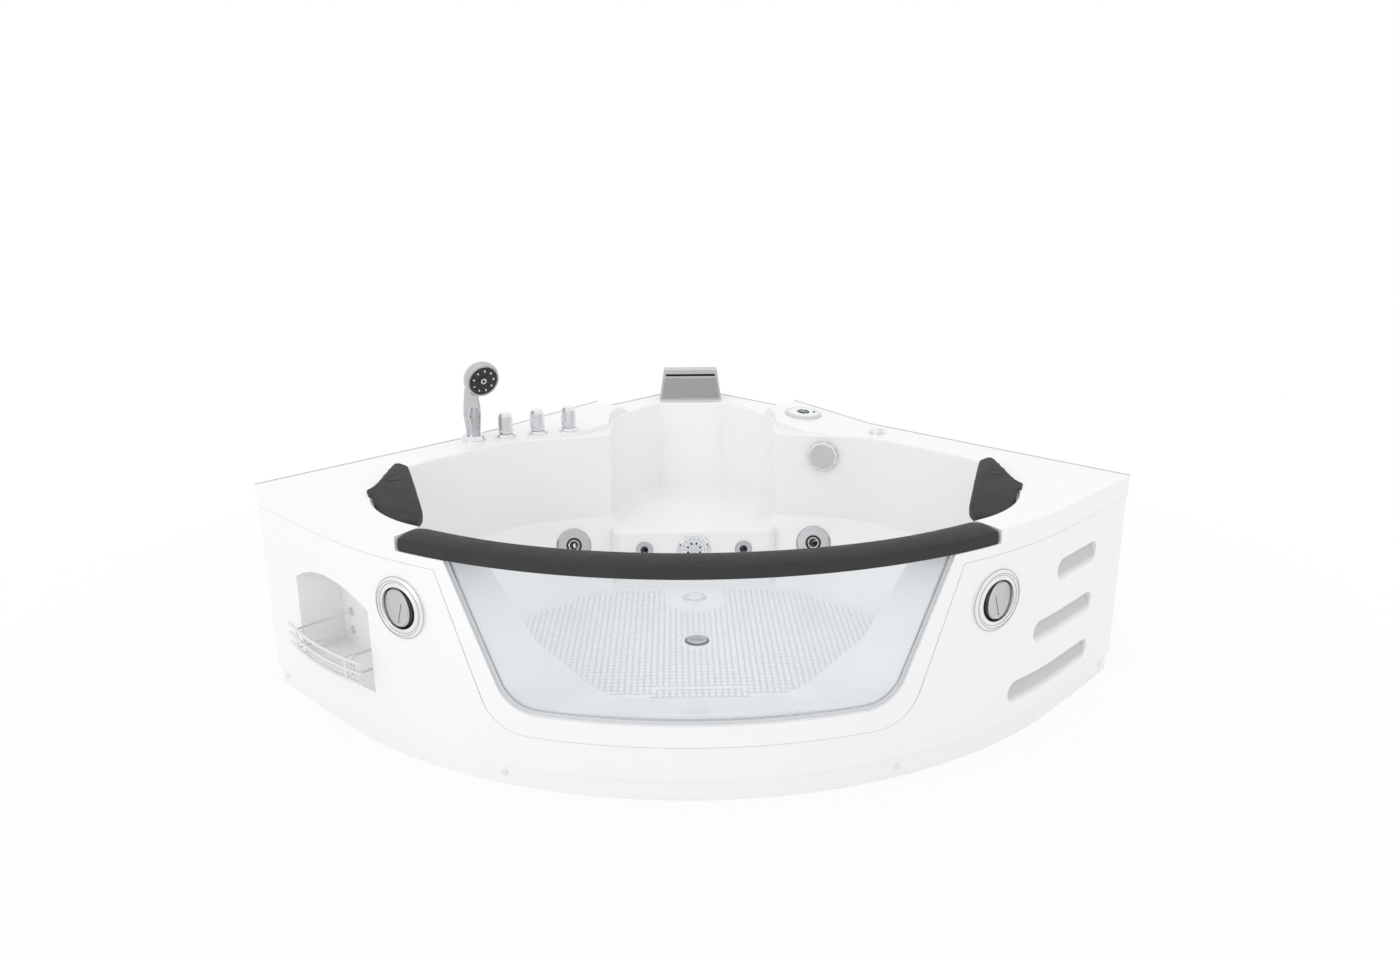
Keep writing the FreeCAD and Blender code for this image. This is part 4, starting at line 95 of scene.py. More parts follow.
# %% A socket that can be added and multiplied
class Wire:
    """One output socket of a node tree, for use in Python sums."""

    def __init__(self, tree, socket=None):
        self.tree = tree
        self.socket = socket

    def node(self, kind, settings=None, inputs=None, out=0):
        made = self.tree.nodes.new(kind)
        for name, value in (settings or {}).items():
            setattr(made, name, value)
        for name, value in (inputs or {}).items():
            if isinstance(value, Wire):
                self.tree.links.new(value.socket, made.inputs[name])
            else:
                made.inputs[name].default_value = value
        return Wire(self.tree, made.outputs[out])

    def sum(self, operation, first, second):
        return self.node("ShaderNodeMath", {"operation": operation}, {0: first, 1: second})

    def __add__(self, other):
        return self.sum("ADD", self, other)

    def __radd__(self, other):
        return self.sum("ADD", other, self)

    def __sub__(self, other):
        return self.sum("SUBTRACT", self, other)

    def __rsub__(self, other):
        return self.sum("SUBTRACT", other, self)

    def __mul__(self, other):
        return self.sum("MULTIPLY", self, other)

    def __rmul__(self, other):
        return self.sum("MULTIPLY", other, self)

    def stretch(self, x, y, z):
        return self.node("ShaderNodeVectorMath", {"operation": "MULTIPLY"}, {0: self, 1: (x, y, z)})

    def blend(self, first, second):
        return self.node("ShaderNodeMix", {"data_type": "RGBA"}, {0: self, 6: first, 7: second}, 2)

    def noise(self, scale, detail=2.0, roughness=0.5):
        return self.node("ShaderNodeTexNoise", None,
                         {"Vector": self, "Scale": scale, "Detail": detail, "Roughness": roughness})

    def between(self, low, high):
        return self.node("ShaderNodeMapRange", None, {"Value": self, "From Min": low, "From Max": high})


def start_finish(name, **fixed):
    """A new finish: the material, its shader, and the place on the piece in metres."""
    material = bpy.data.materials.new(name)
    material.use_nodes = True
    shader = material.node_tree.nodes["Principled BSDF"]
    for socket, value in fixed.items():
        shader.inputs[socket.replace("_", " ")].default_value = value
    place = Wire(material.node_tree).node("ShaderNodeTexCoord", out="Object")
    return material, shader, place


def feed(shader, **varying):
    """Link what changes over the surface to the shader."""
    for socket, wire in varying.items():
        wire.tree.links.new(wire.socket, shader.inputs[socket.replace("_", " ")])


def relief(height, distance, strength=1.0):
    inputs = {"Strength": strength, "Distance": distance, "Height": height}
    return height.node("ShaderNodeBump", None, inputs)


print("socket sums ready")

# %% [markdown]
# ## Floor, sky and lamps
#
# The picture has a white ground that runs into a white background. Lighting a white floor until it
# clips would also burn out the white bath, so the ground is white by its own colour only to rays
# from the camera, from glossy surfaces and through glass. Other rays meet a calm grey-white room.
# Near the bath part of the floor stays ordinary paint, which keeps a faint shadow there. Further out
# it is all background, so no horizon shows.

# %% Sky
AMBIENT = 0.95


def background_rays(tree):
    """1 for rays that see the background directly, in a mirror or through glass, 0 for others."""
    start = Wire(tree)
    kinds = [start.node("ShaderNodeLightPath", out=name)
             for name in ("Is Camera Ray", "Is Glossy Ray", "Is Transmission Ray")]
    return start.sum("MAXIMUM", start.sum("MAXIMUM", kinds[0], kinds[1]), kinds[2])


sky = bpy.data.worlds.new("studio")
sky.use_nodes = True
bpy.context.scene.world = sky
seen = background_rays(sky.node_tree)
sky_shader = sky.node_tree.nodes["Background"]
sky_shader.inputs["Color"].default_value = (1.0, 1.0, 1.0, 1.0)
sky.node_tree.links.new((AMBIENT + (1.0 - AMBIENT) * seen).socket, sky_shader.inputs["Strength"])
print("sky at", AMBIENT)

# %% Floor
FLOOR_SIZE = 14.0
FLOOR_OWN_WHITE = 0.88
SHADOW_REACH = (1.0, 2.2)

ground = bmesh.new()
bmesh.ops.create_grid(ground, x_segments=8, y_segments=8, size=FLOOR_SIZE / 2)
floor_mesh = bpy.data.meshes.new("studio_floor")
ground.to_mesh(floor_mesh)
ground.free()
studio_floor = bpy.data.objects.new("studio_floor", floor_mesh)
studio_floor.location = (0.0, 0.0, -0.0005)
bpy.context.scene.collection.objects.link(studio_floor)

floor_white = bpy.data.materials.new("floor_white")
floor_white.use_nodes = True
floor_tree = floor_white.node_tree
floor_tree.nodes.clear()
seen = background_rays(floor_tree)
spot = seen.node("ShaderNodeTexCoord", out="Object")
away = spot.node("ShaderNodeVectorMath", {"operation": "LENGTH"}, {0: spot}, "Value")
own_white = FLOOR_OWN_WHITE + (1.0 - FLOOR_OWN_WHITE) * away.between(*SHADOW_REACH)
paint = seen.node("ShaderNodeBsdfDiffuse", None, {"Color": (0.9, 0.9, 0.9, 1.0)})
glow = seen.node("ShaderNodeEmission", None, {"Color": (1.0, 1.0, 1.0, 1.0), "Strength": 1.0})
floor_mix = seen.node("ShaderNodeMixShader", None, {0: seen * own_white, 1: paint, 2: glow})
floor_out = floor_tree.nodes.new("ShaderNodeOutputMaterial")
floor_tree.links.new(floor_mix.socket, floor_out.inputs["Surface"])
floor_mesh.materials.append(floor_white)
print("floor of", FLOOR_SIZE, "m")

# %% Lamps
def soft_box(name, place, aim, size, watts):
    lamp = bpy.data.lights.new(name, "AREA")
    lamp.shape = "RECTANGLE"
    lamp.size, lamp.size_y = size
    lamp.energy = watts
    holder = bpy.data.objects.new(name, lamp)
    holder.location = place
    holder.rotation_euler = (Vector(aim) - Vector(place)).to_track_quat("-Z", "Y").to_euler()
    holder.visible_camera = False
    bpy.context.scene.collection.objects.link(holder)
    return holder


soft_box("over_light", (-0.8, -0.6, 4.2), (0.0, 0.0, 0.3), (3.6, 3.6), 4.0)
soft_box("front_light", (-3.0, -4.3, 2.4), (0.0, 0.0, 0.4), (3.0, 2.2), 22.0)
print("two soft boxes")

# %% [markdown]
# ## Dark cards for the chrome
#
# In an all-white room chrome turns white and loses its shape. A photographer stands dark cards out of
# the picture, and the metal draws its outlines with them. The cards here answer only to mirror rays,
# so they neither shade the bath nor show in the picture. They fade to white at their edges, because a
# hard edge would show in the chrome as a black block. The two behind the bath are low, so that only
# round metal finds them, at its outline, and the flat deck doesn't.

# %% Cards
CARD_SHADE = (0.012, 0.012, 0.013, 1.0)

card_dark = bpy.data.materials.new("card_dark")
card_dark.use_nodes = True
card_dark.node_tree.nodes.clear()
card_spot = Wire(card_dark.node_tree).node("ShaderNodeTexCoord", out="Generated")
card_off = card_spot.node("ShaderNodeVectorMath", {"operation": "DISTANCE"},
                          {0: card_spot, 1: (0.5, 0.5, 0.0)}, "Value")
card_fade = card_off.between(0.34, 0.5).blend(CARD_SHADE, (1.0, 1.0, 1.0, 1.0))
card_face = card_fade.node("ShaderNodeEmission", None, {"Color": card_fade})
card_out = card_dark.node_tree.nodes.new("ShaderNodeOutputMaterial")
card_dark.node_tree.links.new(card_face.socket, card_out.inputs["Surface"])


def dark_card(name, place, aim, size):
    plate = bmesh.new()
    bmesh.ops.create_grid(plate, x_segments=1, y_segments=1, size=0.5)
    bmesh.ops.scale(plate, verts=plate.verts, vec=(size[0], size[1], 1.0))
    mesh = bpy.data.meshes.new(name)
    plate.to_mesh(mesh)
    plate.free()
    mesh.materials.append(card_dark)
    card = bpy.data.objects.new(name, mesh)
    card.location = place
    card.rotation_euler = (Vector(aim) - Vector(place)).to_track_quat("-Z", "Y").to_euler()
    for ray in ("camera", "diffuse", "transmission", "volume_scatter", "shadow"):
        setattr(card, "visible_" + ray, False)
    bpy.context.scene.collection.objects.link(card)


BATH_HEART = (0.0, 0.0, 0.45)
dark_card("card_left", (-3.6, -1.6, 1.1), BATH_HEART, (1.3, 2.8))
dark_card("card_right", (3.4, -2.4, 1.0), BATH_HEART, (1.2, 2.6))
dark_card("card_front", (1.5, -4.6, 2.0), BATH_HEART, (1.5, 1.8))
dark_card("card_over", (0.2, -1.9, 3.4), BATH_HEART, (3.2, 0.8))
dark_card("card_back_left", (-2.2, 2.9, 0.75), BATH_HEART, (2.4, 0.9))
dark_card("card_back_right", (2.2, 2.9, 0.75), BATH_HEART, (2.4, 0.9))
print("six cards")

# %% [markdown]
# ## White acrylic
#
# The basin and apron are sheets of sanitary acrylic, drawn over a mould and backed with resin. The
# surface is glossy but never optically flat: long waves from the drawing, and a very fine orange peel.
# A plain white would read as paper, so the gloss varies softly and the bump is two noises of very
# different size.

# %% Acrylic and niche finishes
def acrylic_finish(name, shade, gloss, peel):
    material, shader, place = start_finish(name, IOR=1.49, Coat_Weight=0.25, Coat_Roughness=0.04)
    waves = place.noise(5.0, 2.0)
    fine = place.noise(420.0, 3.0, 0.6)
    clouds = place.noise(2.2, 3.0).between(0.3, 0.7)
    feed(shader,
         Base_Color=clouds.blend((shade * 0.985, shade * 0.987, shade * 0.995, 1.0),
                                 (shade, shade, shade, 1.0)),
         Roughness=gloss + 0.08 * place.noise(14.0, 4.0),
         Normal=relief(waves + peel * fine, 0.0012, 0.35))
    return material


finishes = {
    "acrylic": acrylic_finish("white_acrylic", 0.955, 0.14, 0.012),
    "niche_white": acrylic_finish("niche_liner_white", 0.95, 0.24, 0.05),
}
print("acrylic finishes:", len(finishes))

# %% [markdown]
# ## Window glass, its seal and the lamp lens
#
# The window is 8 mm safety glass with a cool cast. Glass that refracts is honest, but it shuts lamp
# light out of the well behind it, so the floor turns grey. The pane is thin and nearly flat, and a
# see-through surface that keeps a little pale blue shows the same picture and lets the light in. The
# lens of the floor lamp is opal plastic, which is white and dense.

# %% Glass, seal and lens finishes
def pane_finish(name, tint, cover):
    material, shader, place = start_finish(name, IOR=1.46, Alpha=cover)
    wipe = place.noise(9.0, 4.0, 0.6).between(0.35, 0.75)
    worn = tuple(0.97 * c for c in tint[:3]) + (1.0,)
    feed(shader,
         Base_Color=wipe.blend(tint, worn),
         Roughness=0.02 + 0.03 * wipe)
    return material


def opal_finish(name, shade):
    material, shader, place = start_finish(name, IOR=1.49, Coat_Weight=0.4, Coat_Roughness=0.03)
    cloud = place.noise(70.0, 3.0, 0.6)
    feed(shader,
         Base_Color=cloud.blend((shade * 0.95, shade * 0.96, shade * 0.96, 1.0),
                                (shade, shade, shade, 1.0)),
         Roughness=0.18 + 0.1 * cloud)
    return material


def rubber_finish(name, shade, grain):
    material, shader, place = start_finish(name, IOR=1.5)
    pores = place.noise(grain, 3.0, 0.7)
    low = (shade * 0.85, shade * 0.87, shade * 0.89, 1.0)
    high = (shade * 1.1, shade * 1.12, shade * 1.15, 1.0)
    feed(shader,
         Base_Color=pores.blend(low, high),
         Roughness=0.5 + 0.2 * pores,
         Normal=relief(pores, 0.0003, 0.5))
    return material


finishes["window_glass"] = pane_finish("window_glass", (0.62, 0.82, 0.92, 1.0), 0.07)
finishes["lens_clear"] = opal_finish("opal_lens", 0.88)
finishes["seal_grey"] = rubber_finish("window_seal_rubber", 0.72, 700.0)
print("glass, lens and seal finishes")

# %% [markdown]
# ## Soft skin
#
# The bar over the window and the headrests are moulded foam with a closed skin, dark grey, with a
# pebble grain and faint flow marks. A leather texture from a picture would need UVs, which remeshing
# removes, so the grain is cells in space at a scale of about a millimetre.

# %% Foam skin finish
def foam_skin(name, dark, light):
    material, shader, place = start_finish(name, IOR=1.4)
    pebbles = place.node("ShaderNodeTexVoronoi", {"feature": "SMOOTH_F1"},
                         {"Vector": place, "Scale": 640.0, "Smoothness": 0.6})
    flow = place.stretch(1.0, 7.0, 3.0).noise(6.0, 4.0, 0.6).between(0.3, 0.75)
    rub = place.noise(38.0, 4.0, 0.7).between(0.35, 0.7)
    feed(shader,
         Base_Color=(0.7 * flow + 0.3 * rub).blend((dark, dark, dark * 1.01, 1.0),
                                                   (light, light, light, 1.0)),
         Roughness=0.56 + 0.16 * rub,
         Normal=relief(pebbles, 0.0004, 0.45))
    return material


finishes["soft_grey"] = foam_skin("dark_foam_skin", 0.028, 0.04)
print("foam skin")

# %% [markdown]
# ## Bright metals
#
# Spout, taps and jets are chromed, and the spout's face and the rail are brushed. Chrome has almost no
# colour of its own: what it shows is the room, broken a little by a film of wiping marks. A brushed
# face has scratches along one direction, which noise stretched a hundredfold gives.

# %% Chrome, satin and brass finishes
def chrome_finish(name, colour, gloss, marks):
    material, shader, place = start_finish(name, Metallic=1.0)
    film = place.noise(60.0, 5.0, 0.65).between(0.3, 0.8)
    streak = place.stretch(1.0, 1.0, 0.12).noise(260.0, 3.0, 0.6)
    feed(shader,
         Base_Color=film.blend(colour, tuple(0.93 * c for c in colour[:3]) + (1.0,)),
         Roughness=gloss + marks * film + 0.5 * marks * streak,
         Normal=relief(place.noise(18.0, 2.0), 0.0002, 0.15))
    return material


def brushed_finish(name, colour, gloss, stretch):
    material, shader, place = start_finish(name, Metallic=1.0)
    scratches = place.stretch(*stretch).noise(1.0, 4.0, 0.7)
    cloud = place.noise(25.0, 3.0)
    worn = tuple(0.82 * c for c in colour[:3]) + (1.0,)
    feed(shader,
         Base_Color=(0.6 * scratches + 0.4 * cloud).blend(worn, colour),
         Roughness=gloss + 0.18 * scratches,
         Normal=relief(scratches, 0.00008, 0.6))
    return material


finishes["chrome"] = chrome_finish("bright_chrome", (0.82, 0.825, 0.84, 1.0), 0.03, 0.05)
finishes["satin_steel"] = brushed_finish("satin_steel", (0.42, 0.42, 0.43, 1.0), 0.4,
                                         (14.0, 600.0, 2600.0))
finishes["brass"] = chrome_finish("valve_brass", (0.62, 0.42, 0.19, 1.0), 0.28, 0.14)
print("metal finishes")

# %% [markdown]
# ## Plastics and paint
#
# Nozzles, keys, pipes, feet and the motor are moulded or painted. Each gets a fine grain and a gloss
# that varies, so that a close look still finds a surface.

# %% Plastic and painted finishes
def moulded_finish(name, colour, gloss, grain, depth, speck=0.12):
    material, shader, place = start_finish(name, IOR=1.5)
    fine = place.noise(grain, 4.0, 0.65)
    cloud = place.noise(grain / 30.0, 3.0).between(0.3, 0.7)
    dark = tuple((1.0 - speck) * c for c in colour) + (1.0,)
    feed(shader,
         Base_Color=(0.5 * fine + 0.5 * cloud).blend(dark, colour + (1.0,)),
         Roughness=gloss + 0.12 * fine,
         Normal=relief(fine, depth, 0.5))
    return material


finishes["black_plastic"] = moulded_finish("black_moulding", (0.022, 0.023, 0.024), 0.3, 900.0, 0.0002)
finishes["panel_silver"] = moulded_finish("silver_lacquer", (0.7, 0.71, 0.72), 0.22, 1500.0, 0.0001, 0.08)
finishes["pipe_white"] = moulded_finish("pipe_plastic", (0.76, 0.76, 0.74), 0.38, 300.0, 0.0002, 0.06)
finishes["cable_black"] = moulded_finish("cable_sheath", (0.03, 0.03, 0.03), 0.5, 700.0, 0.0003)
finishes["foot_black"] = moulded_finish("foot_moulding", (0.04, 0.04, 0.042), 0.5, 600.0, 0.0004)
finishes["motor_grey"] = moulded_finish("motor_enamel", (0.13, 0.14, 0.15), 0.35, 500.0, 0.0004)
finishes["frame_steel"] = moulded_finish("zinc_frame", (0.45, 0.46, 0.47), 0.42, 160.0, 0.0003, 0.25)
print("finishes in all:", len(finishes))

# %% [markdown]
# ## Dressing the hard pieces
#
# Every hard piece of the frame names a material slot, so one loop dresses them all. Some pieces of a
# shared slot look different on the real bath and get a finish of their own afterwards: the overflow
# knob and the lamp eyes are paler than the spout, and the lamp bezels are a soft white chrome. The spout,
# the drain and the jets' flanges get a deeper chrome, and the hand shower one a little less deep; this
# darker colour is painted shade, standing in for the darker reflections they show.

# %% Dress the hard pieces
for part in frame["record"]["subparts"]:
    piece = frame["nodes"][part["node"]]
    piece.data.materials.clear()
    piece.data.materials.append(finishes[part["material_slot"]])

pale_satin = brushed_finish("pale_satin", (0.7, 0.705, 0.71, 1.0), 0.45, (900.0, 900.0, 40.0))
white_chrome = chrome_finish("white_chrome", (0.9, 0.9, 0.91, 1.0), 0.3, 0.08)
# Painted shade: the darker chromes stand in for darker reflections on the spout, drain, jets and handset.
chrome_painted_dim = chrome_finish("chrome_painted_dim", (0.5, 0.505, 0.52, 1.0), 0.1, 0.08)
handset_chrome_painted_dim = chrome_finish("handset_chrome_painted_dim", (0.56, 0.565, 0.58, 1.0), 0.04, 0.05)
own_finish = {"overflow_knob": pale_satin, "lamp_eye_left": pale_satin, "lamp_eye_right": pale_satin,
              "lamp_bezels": white_chrome, "spout_body": chrome_painted_dim, "jet_bodies": chrome_painted_dim,
              "drain_body": chrome_painted_dim, "drain_plug": chrome_painted_dim, "shower_handset": handset_chrome_painted_dim}
for node, finish in own_finish.items():
    frame["nodes"][node].data.materials[0] = finish

# %% [markdown]
# ## Adding a piece
#
# Every added piece is a mesh with one finish and rides on a body of the frame; the finish is its slot's
# unless it has one of its own. Most small fittings are turned on a lathe, so a profile of radius and
# height that is swept round an axis makes them. Six sweeps instead of many give a hexagon.

# %% Piece and lathe helpers
joints = {joint["name"]: joint for joint in frame["record"]["behaviour"]["joints"]}
MM = 0.001


def joint_place(name):
    """Where a hinge sits and the direction it turns about."""
    return Vector(joints[name]["pos_m"]), Vector(joints[name]["axis"]).normalized()


def add_piece(name, mesh, body, slot, smooth_angle=40.0, finish=None):
    """Set a mesh on a body, in its slot's finish or one of its own."""
    mesh.materials.clear()
    mesh.materials.append(finish or finishes[slot])
    mesh.polygons.foreach_set("use_smooth", [True] * len(mesh.polygons))
    mesh.set_sharp_from_angle(angle=math.radians(smooth_angle))
    piece = bpy.data.objects.new(name, mesh)
    bpy.context.scene.collection.objects.link(piece)
    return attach(piece, body)


def stand(place, axis):
    """The move from a piece's own upright frame to a place and direction on the bath."""
    turn = Vector((0.0, 0.0, 1.0)).rotation_difference(axis)
    return Matrix.Translation(place) @ turn.to_matrix().to_4x4()


def sweep(shape, profile, move, steps=48, phase=0.0):
    """Add a turned form to a bmesh; the profile is a closed loop or starts and ends on the axis."""
    solid = profile[0][0] == 0.0
    rings = []
    for radius, height in profile:
        if radius == 0.0:
            rings.append([shape.verts.new(move @ Vector((0.0, 0.0, height)))] * steps)
        else:
            turns = [phase + math.tau * i / steps for i in range(steps)]
            circle = [Vector((radius * math.cos(t), radius * math.sin(t), height)) for t in turns]
            rings.append([shape.verts.new(move @ spot) for spot in circle])
    pairs = list(zip(rings, rings[1:] if solid else rings[1:] + rings[:1]))
    for low, high in pairs:
        for i in range(steps):
            corners = [low[i - 1], low[i], high[i], high[i - 1]]
            loop = [v for n, v in enumerate(corners) if v not in corners[:n]]
            shape.faces.new(loop)


def bridge(shape, rings):
    """Join each ring of points to the next with quads."""
    for low, high in zip(rings, rings[1:]):
        for i in range(len(low)):
            shape.faces.new((low[i - 1], low[i], high[i], high[i - 1]))


def made(shape, name):
    bmesh.ops.recalc_face_normals(shape, faces=shape.faces)
    mesh = bpy.data.meshes.new(name)
    shape.to_mesh(mesh)
    shape.free()
    return mesh


def add_form(name, shape, body, slot, smooth_angle=40.0, finish=None):
    return add_piece(name, made(shape, name), body, slot, smooth_angle, finish)


def turned_piece(name, profile, place, axis, body, slot, steps=48, finish=None):
    shape = bmesh.new()
    sweep(shape, profile, stand(place, axis), steps)
    return add_form(name, shape, body, slot, finish=finish)


# %% [markdown]
# ## Grip studs on the floor
#
# The floor of the well is moulded with rows of low pads, so that wet feet don't slip. A bump map would
# fade from a low angle, and an array modifier can't leave pads out round the drain. Here one loop walks
# the rows, a ray from above tests that the floor is flat under all four corners of a pad, and pads
# near the drain and the floor lamp are skipped. Each pad stands on a thin matt tile of one pitch, and
# the tiles' grey is painted shade, darkening the channels between the pads.

# %% Grip studs
STUD_PITCH = Vector((15.0, 18.0)) * MM
STUD_HALF = Vector((5.8, 7.2)) * MM
STUD_RISE = 2.0 * MM
STUD_CHAMFER = 2.0 * MM
STUD_DRAFT = 1.0 * MM
STUD_SUNK = 0.4 * MM
SHADE_TILE_RISE = 0.2 * MM
FIELD_MARGIN = 8.0 * MM
FIELD_ROWS = range(-24, 25)
FIELD_COLUMNS = range(-36, 37)
LAMP_CLEARING = 90.0 * MM
DRAIN_CLEARING = 42.0 * MM
BESIDE_DRAIN = 0.1
RAY_START = 0.3
FLAT_WITHIN = 0.1 * MM

basin_tree = BVHTree.FromObject(frame["nodes"]["basin_shell"], bpy.context.evaluated_depsgraph_get())


def middle(node):
    low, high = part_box(node)
    return (low + high) / 2


def floor_under(x, y):
    hit = basin_tree.ray_cast(Vector((x, y, RAY_START)), Vector((0.0, 0.0, -1.0)))[0]
    return hit.z if hit else 0.0


drain_place = middle("drain_body")
well_floor = floor_under(BESIDE_DRAIN, drain_place.y)
clearings = [(middle("floor_lamp"), LAMP_CLEARING), (drain_place, DRAIN_CLEARING)]


def pad_fits(x, y):
    reach = STUD_HALF + Vector((FIELD_MARGIN, FIELD_MARGIN))
    corners = [(x + i * reach.x, y + j * reach.y) for i in (-1, 1) for j in (-1, 1)]
    flat = all(abs(floor_under(*corner) - well_floor) < FLAT_WITHIN for corner in corners)
    return flat and all(math.hypot(x - c.x, y - c.y) > r for c, r in clearings)


def add_pad(shape, x, y):
    rings = []
    for inset, height in ((0.0, -STUD_SUNK), (0.0, STUD_RISE * 0.4), (STUD_DRAFT, STUD_RISE)):
        w, d, c = STUD_HALF.x - inset, STUD_HALF.y - inset, STUD_CHAMFER
        quarter = [(w, d - c), (w - c, d)]
        half = quarter + [(-i, j) for i, j in reversed(quarter)]
        loop = half + [(-i, -j) for i, j in half]
        rings.append([shape.verts.new((x + i, y + j, well_floor + height)) for i, j in loop])
    bridge(shape, rings)
    shape.faces.new(rings[-1])


# A matt tile under each pad; its grey colour is painted shade for the channels between the pads.
def add_shade_tile(shape, x, y):
    rings = []
    w, d = STUD_PITCH.x / 2, STUD_PITCH.y / 2
    for height in (-SHADE_TILE_RISE, SHADE_TILE_RISE):
        rings.append([shape.verts.new((x + i * w, y + j * d, well_floor + height))
                      for i, j in ((1, 1), (-1, 1), (-1, -1), (1, -1))])
    bridge(shape, rings)
    shape.faces.new(rings[-1])


# Painted shade: the channel tiles are matt, and their grey colour stands in for shade between the pads.
matt_channel_painted_shade = moulded_finish("matt_channel_painted_shade", (0.74, 0.765, 0.78), 0.6, 500.0, 0.0003, 0.06)
studs, shade_tiles = bmesh.new(), bmesh.new()
pads = 0
for row in FIELD_ROWS:
    for column in FIELD_COLUMNS:
        x, y = column * STUD_PITCH.x, drain_place.y + row * STUD_PITCH.y
        if pad_fits(x, y):
            add_pad(studs, x, y)
            add_shade_tile(shade_tiles, x, y)
            pads += 1
bmesh.ops.remove_doubles(shade_tiles, verts=shade_tiles.verts, dist=0.05 * MM)
add_form("floor_grip_studs", studs, "bath", "acrylic", 30.0)
add_form("floor_grip_channel_shade", shade_tiles, "bath", "acrylic", 30.0, matt_channel_painted_shade)
print("grip studs:", pads)

# %% [markdown]
# ## Foam bar and headrests
#
# The bar over the window and the two headrests are foam in a skin. Their solid forms are too hard at
# the edges. Cloth pressure blows the skin up for a few frames, so it pulls tight as over real foam.
# Points may only move a little, and not at all underneath, where the foam sits on the bath.

# %% Foam helpers
CLOTH_FRAMES = 16
CLOTH_PRESSURE = 4.0
SKIN_MASS = 0.3


def blown(skin, name):
    """Places of the skin's points after some frames of cloth pressure."""
    holder = bpy.data.objects.new(name, skin)
    bpy.context.scene.collection.objects.link(holder)
    cloth = holder.modifiers.new("foam", "CLOTH")
    cloth.settings.effector_weights.gravity = 0.0
    cloth.settings.use_pressure = True
    cloth.settings.uniform_pressure_force = CLOTH_PRESSURE
    cloth.settings.mass = SKIN_MASS
    cloth.point_cache.frame_start, cloth.point_cache.frame_end = 1, CLOTH_FRAMES
    for frame_number in range(1, CLOTH_FRAMES + 1):
        bpy.context.scene.frame_set(frame_number)
    swollen = holder.evaluated_get(bpy.context.evaluated_depsgraph_get()).to_mesh()
    places = [v.co.copy() for v in swollen.vertices]
    bpy.data.objects.remove(holder)
    bpy.context.scene.frame_set(1)
    return places


def foam_piece(node, skin, cap, edge_angle):
    """Swell a skin by at most cap, and let it stand for the frame's solid."""
    for vertex, place in zip(skin.vertices, blown(skin, node + "_blown")):
        free = min(max(1.0 + 2.0 * vertex.normal.z, 0.0), 1.0)
        step = place - vertex.co
        vertex.co += step * (free * min(1.0, cap / max(step.length, 1e-9)))
    piece = add_piece(node + "_foam", skin, "bath", "soft_grey", edge_angle)
    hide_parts(node)
    return piece


print("foam pressure", CLOTH_PRESSURE)

# %% [markdown]
# The bar is one section swept round the front curve, with its edges kept crisp: two bowed sides, a
# crowned top and a groove underneath for the steel rail. Sweeping gives even quads without remeshing,
# which would eat the thin lips beside the groove. At both ends the section shrinks a little, which
# takes the sharpness off the end.

# %% Bar over the window
FRONT_CENTRE = 373.4 * MM
FRONT_RADIUS = 1188.0 * MM
PAD_WIDTH = 78.0 * MM
PAD_HALF_ANGLE = math.radians(32.0)
PAD_DRAW = 3.0 * MM
PAD_CROWN = 6.0 * MM
RAIL_LIPS = (14.3 * MM, 6.3 * MM)
RAIL_EASE = 0.6 * MM
PAD_STEPS = 220
PAD_CAP = 1.2 * MM
PAD_EDGE_ANGLE = 28.0
PAD_ENDS = ((0.0, 0.9 * MM), (0.9 * MM, 0.0), (4.0 * MM, 0.0))

pad_low, pad_high = (corner.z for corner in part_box("rail_pad"))
rail_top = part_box("glass_cap_rail")[1].z + RAIL_EASE


def pad_section():
    """The bar's outline as (radius, height), from the outer foot over the top to the groove."""
    inner, outer, shoulder = FRONT_RADIUS - PAD_WIDTH, FRONT_RADIUS, pad_high - PAD_CROWN
    bow = [(t, PAD_DRAW * (2.0 * t - 1.0) ** 2) for t in (i / 6 for i in range(7))]
    outside = [(outer - draw, pad_low + (shoulder - pad_low) * t) for t, draw in bow]
    inside = [(inner + draw, shoulder - (shoulder - pad_low) * t) for t, draw in bow]
    span = PAD_WIDTH - 2.0 * PAD_DRAW
    top = [(outer - PAD_DRAW - span * t, pad_high - PAD_CROWN * (2.0 * t - 1.0) ** 2)
           for t in (i / 14 for i in range(1, 14))]
    wall_in, wall_out = inner + RAIL_LIPS[0] - RAIL_EASE, outer - RAIL_LIPS[1] + RAIL_EASE
    roof = [(wall_in + (wall_out - wall_in) * t, rail_top) for t in (i / 8 for i in range(9))]
    return outside + top + inside + [(wall_in, pad_low)] + roof + [(wall_out, pad_low)]


def pad_ring(shape, section, angle, shrink):
    heart = Vector((FRONT_RADIUS - PAD_WIDTH / 2, (pad_low + pad_high) / 2))
    ring = []
    for place in section:
        spot = Vector(place)
        spot -= (spot - heart).normalized() * shrink
        x, y = spot.x * math.sin(angle), FRONT_CENTRE - spot.x * math.cos(angle)
        ring.append(shape.verts.new((x, y, spot.y)))
    return ring


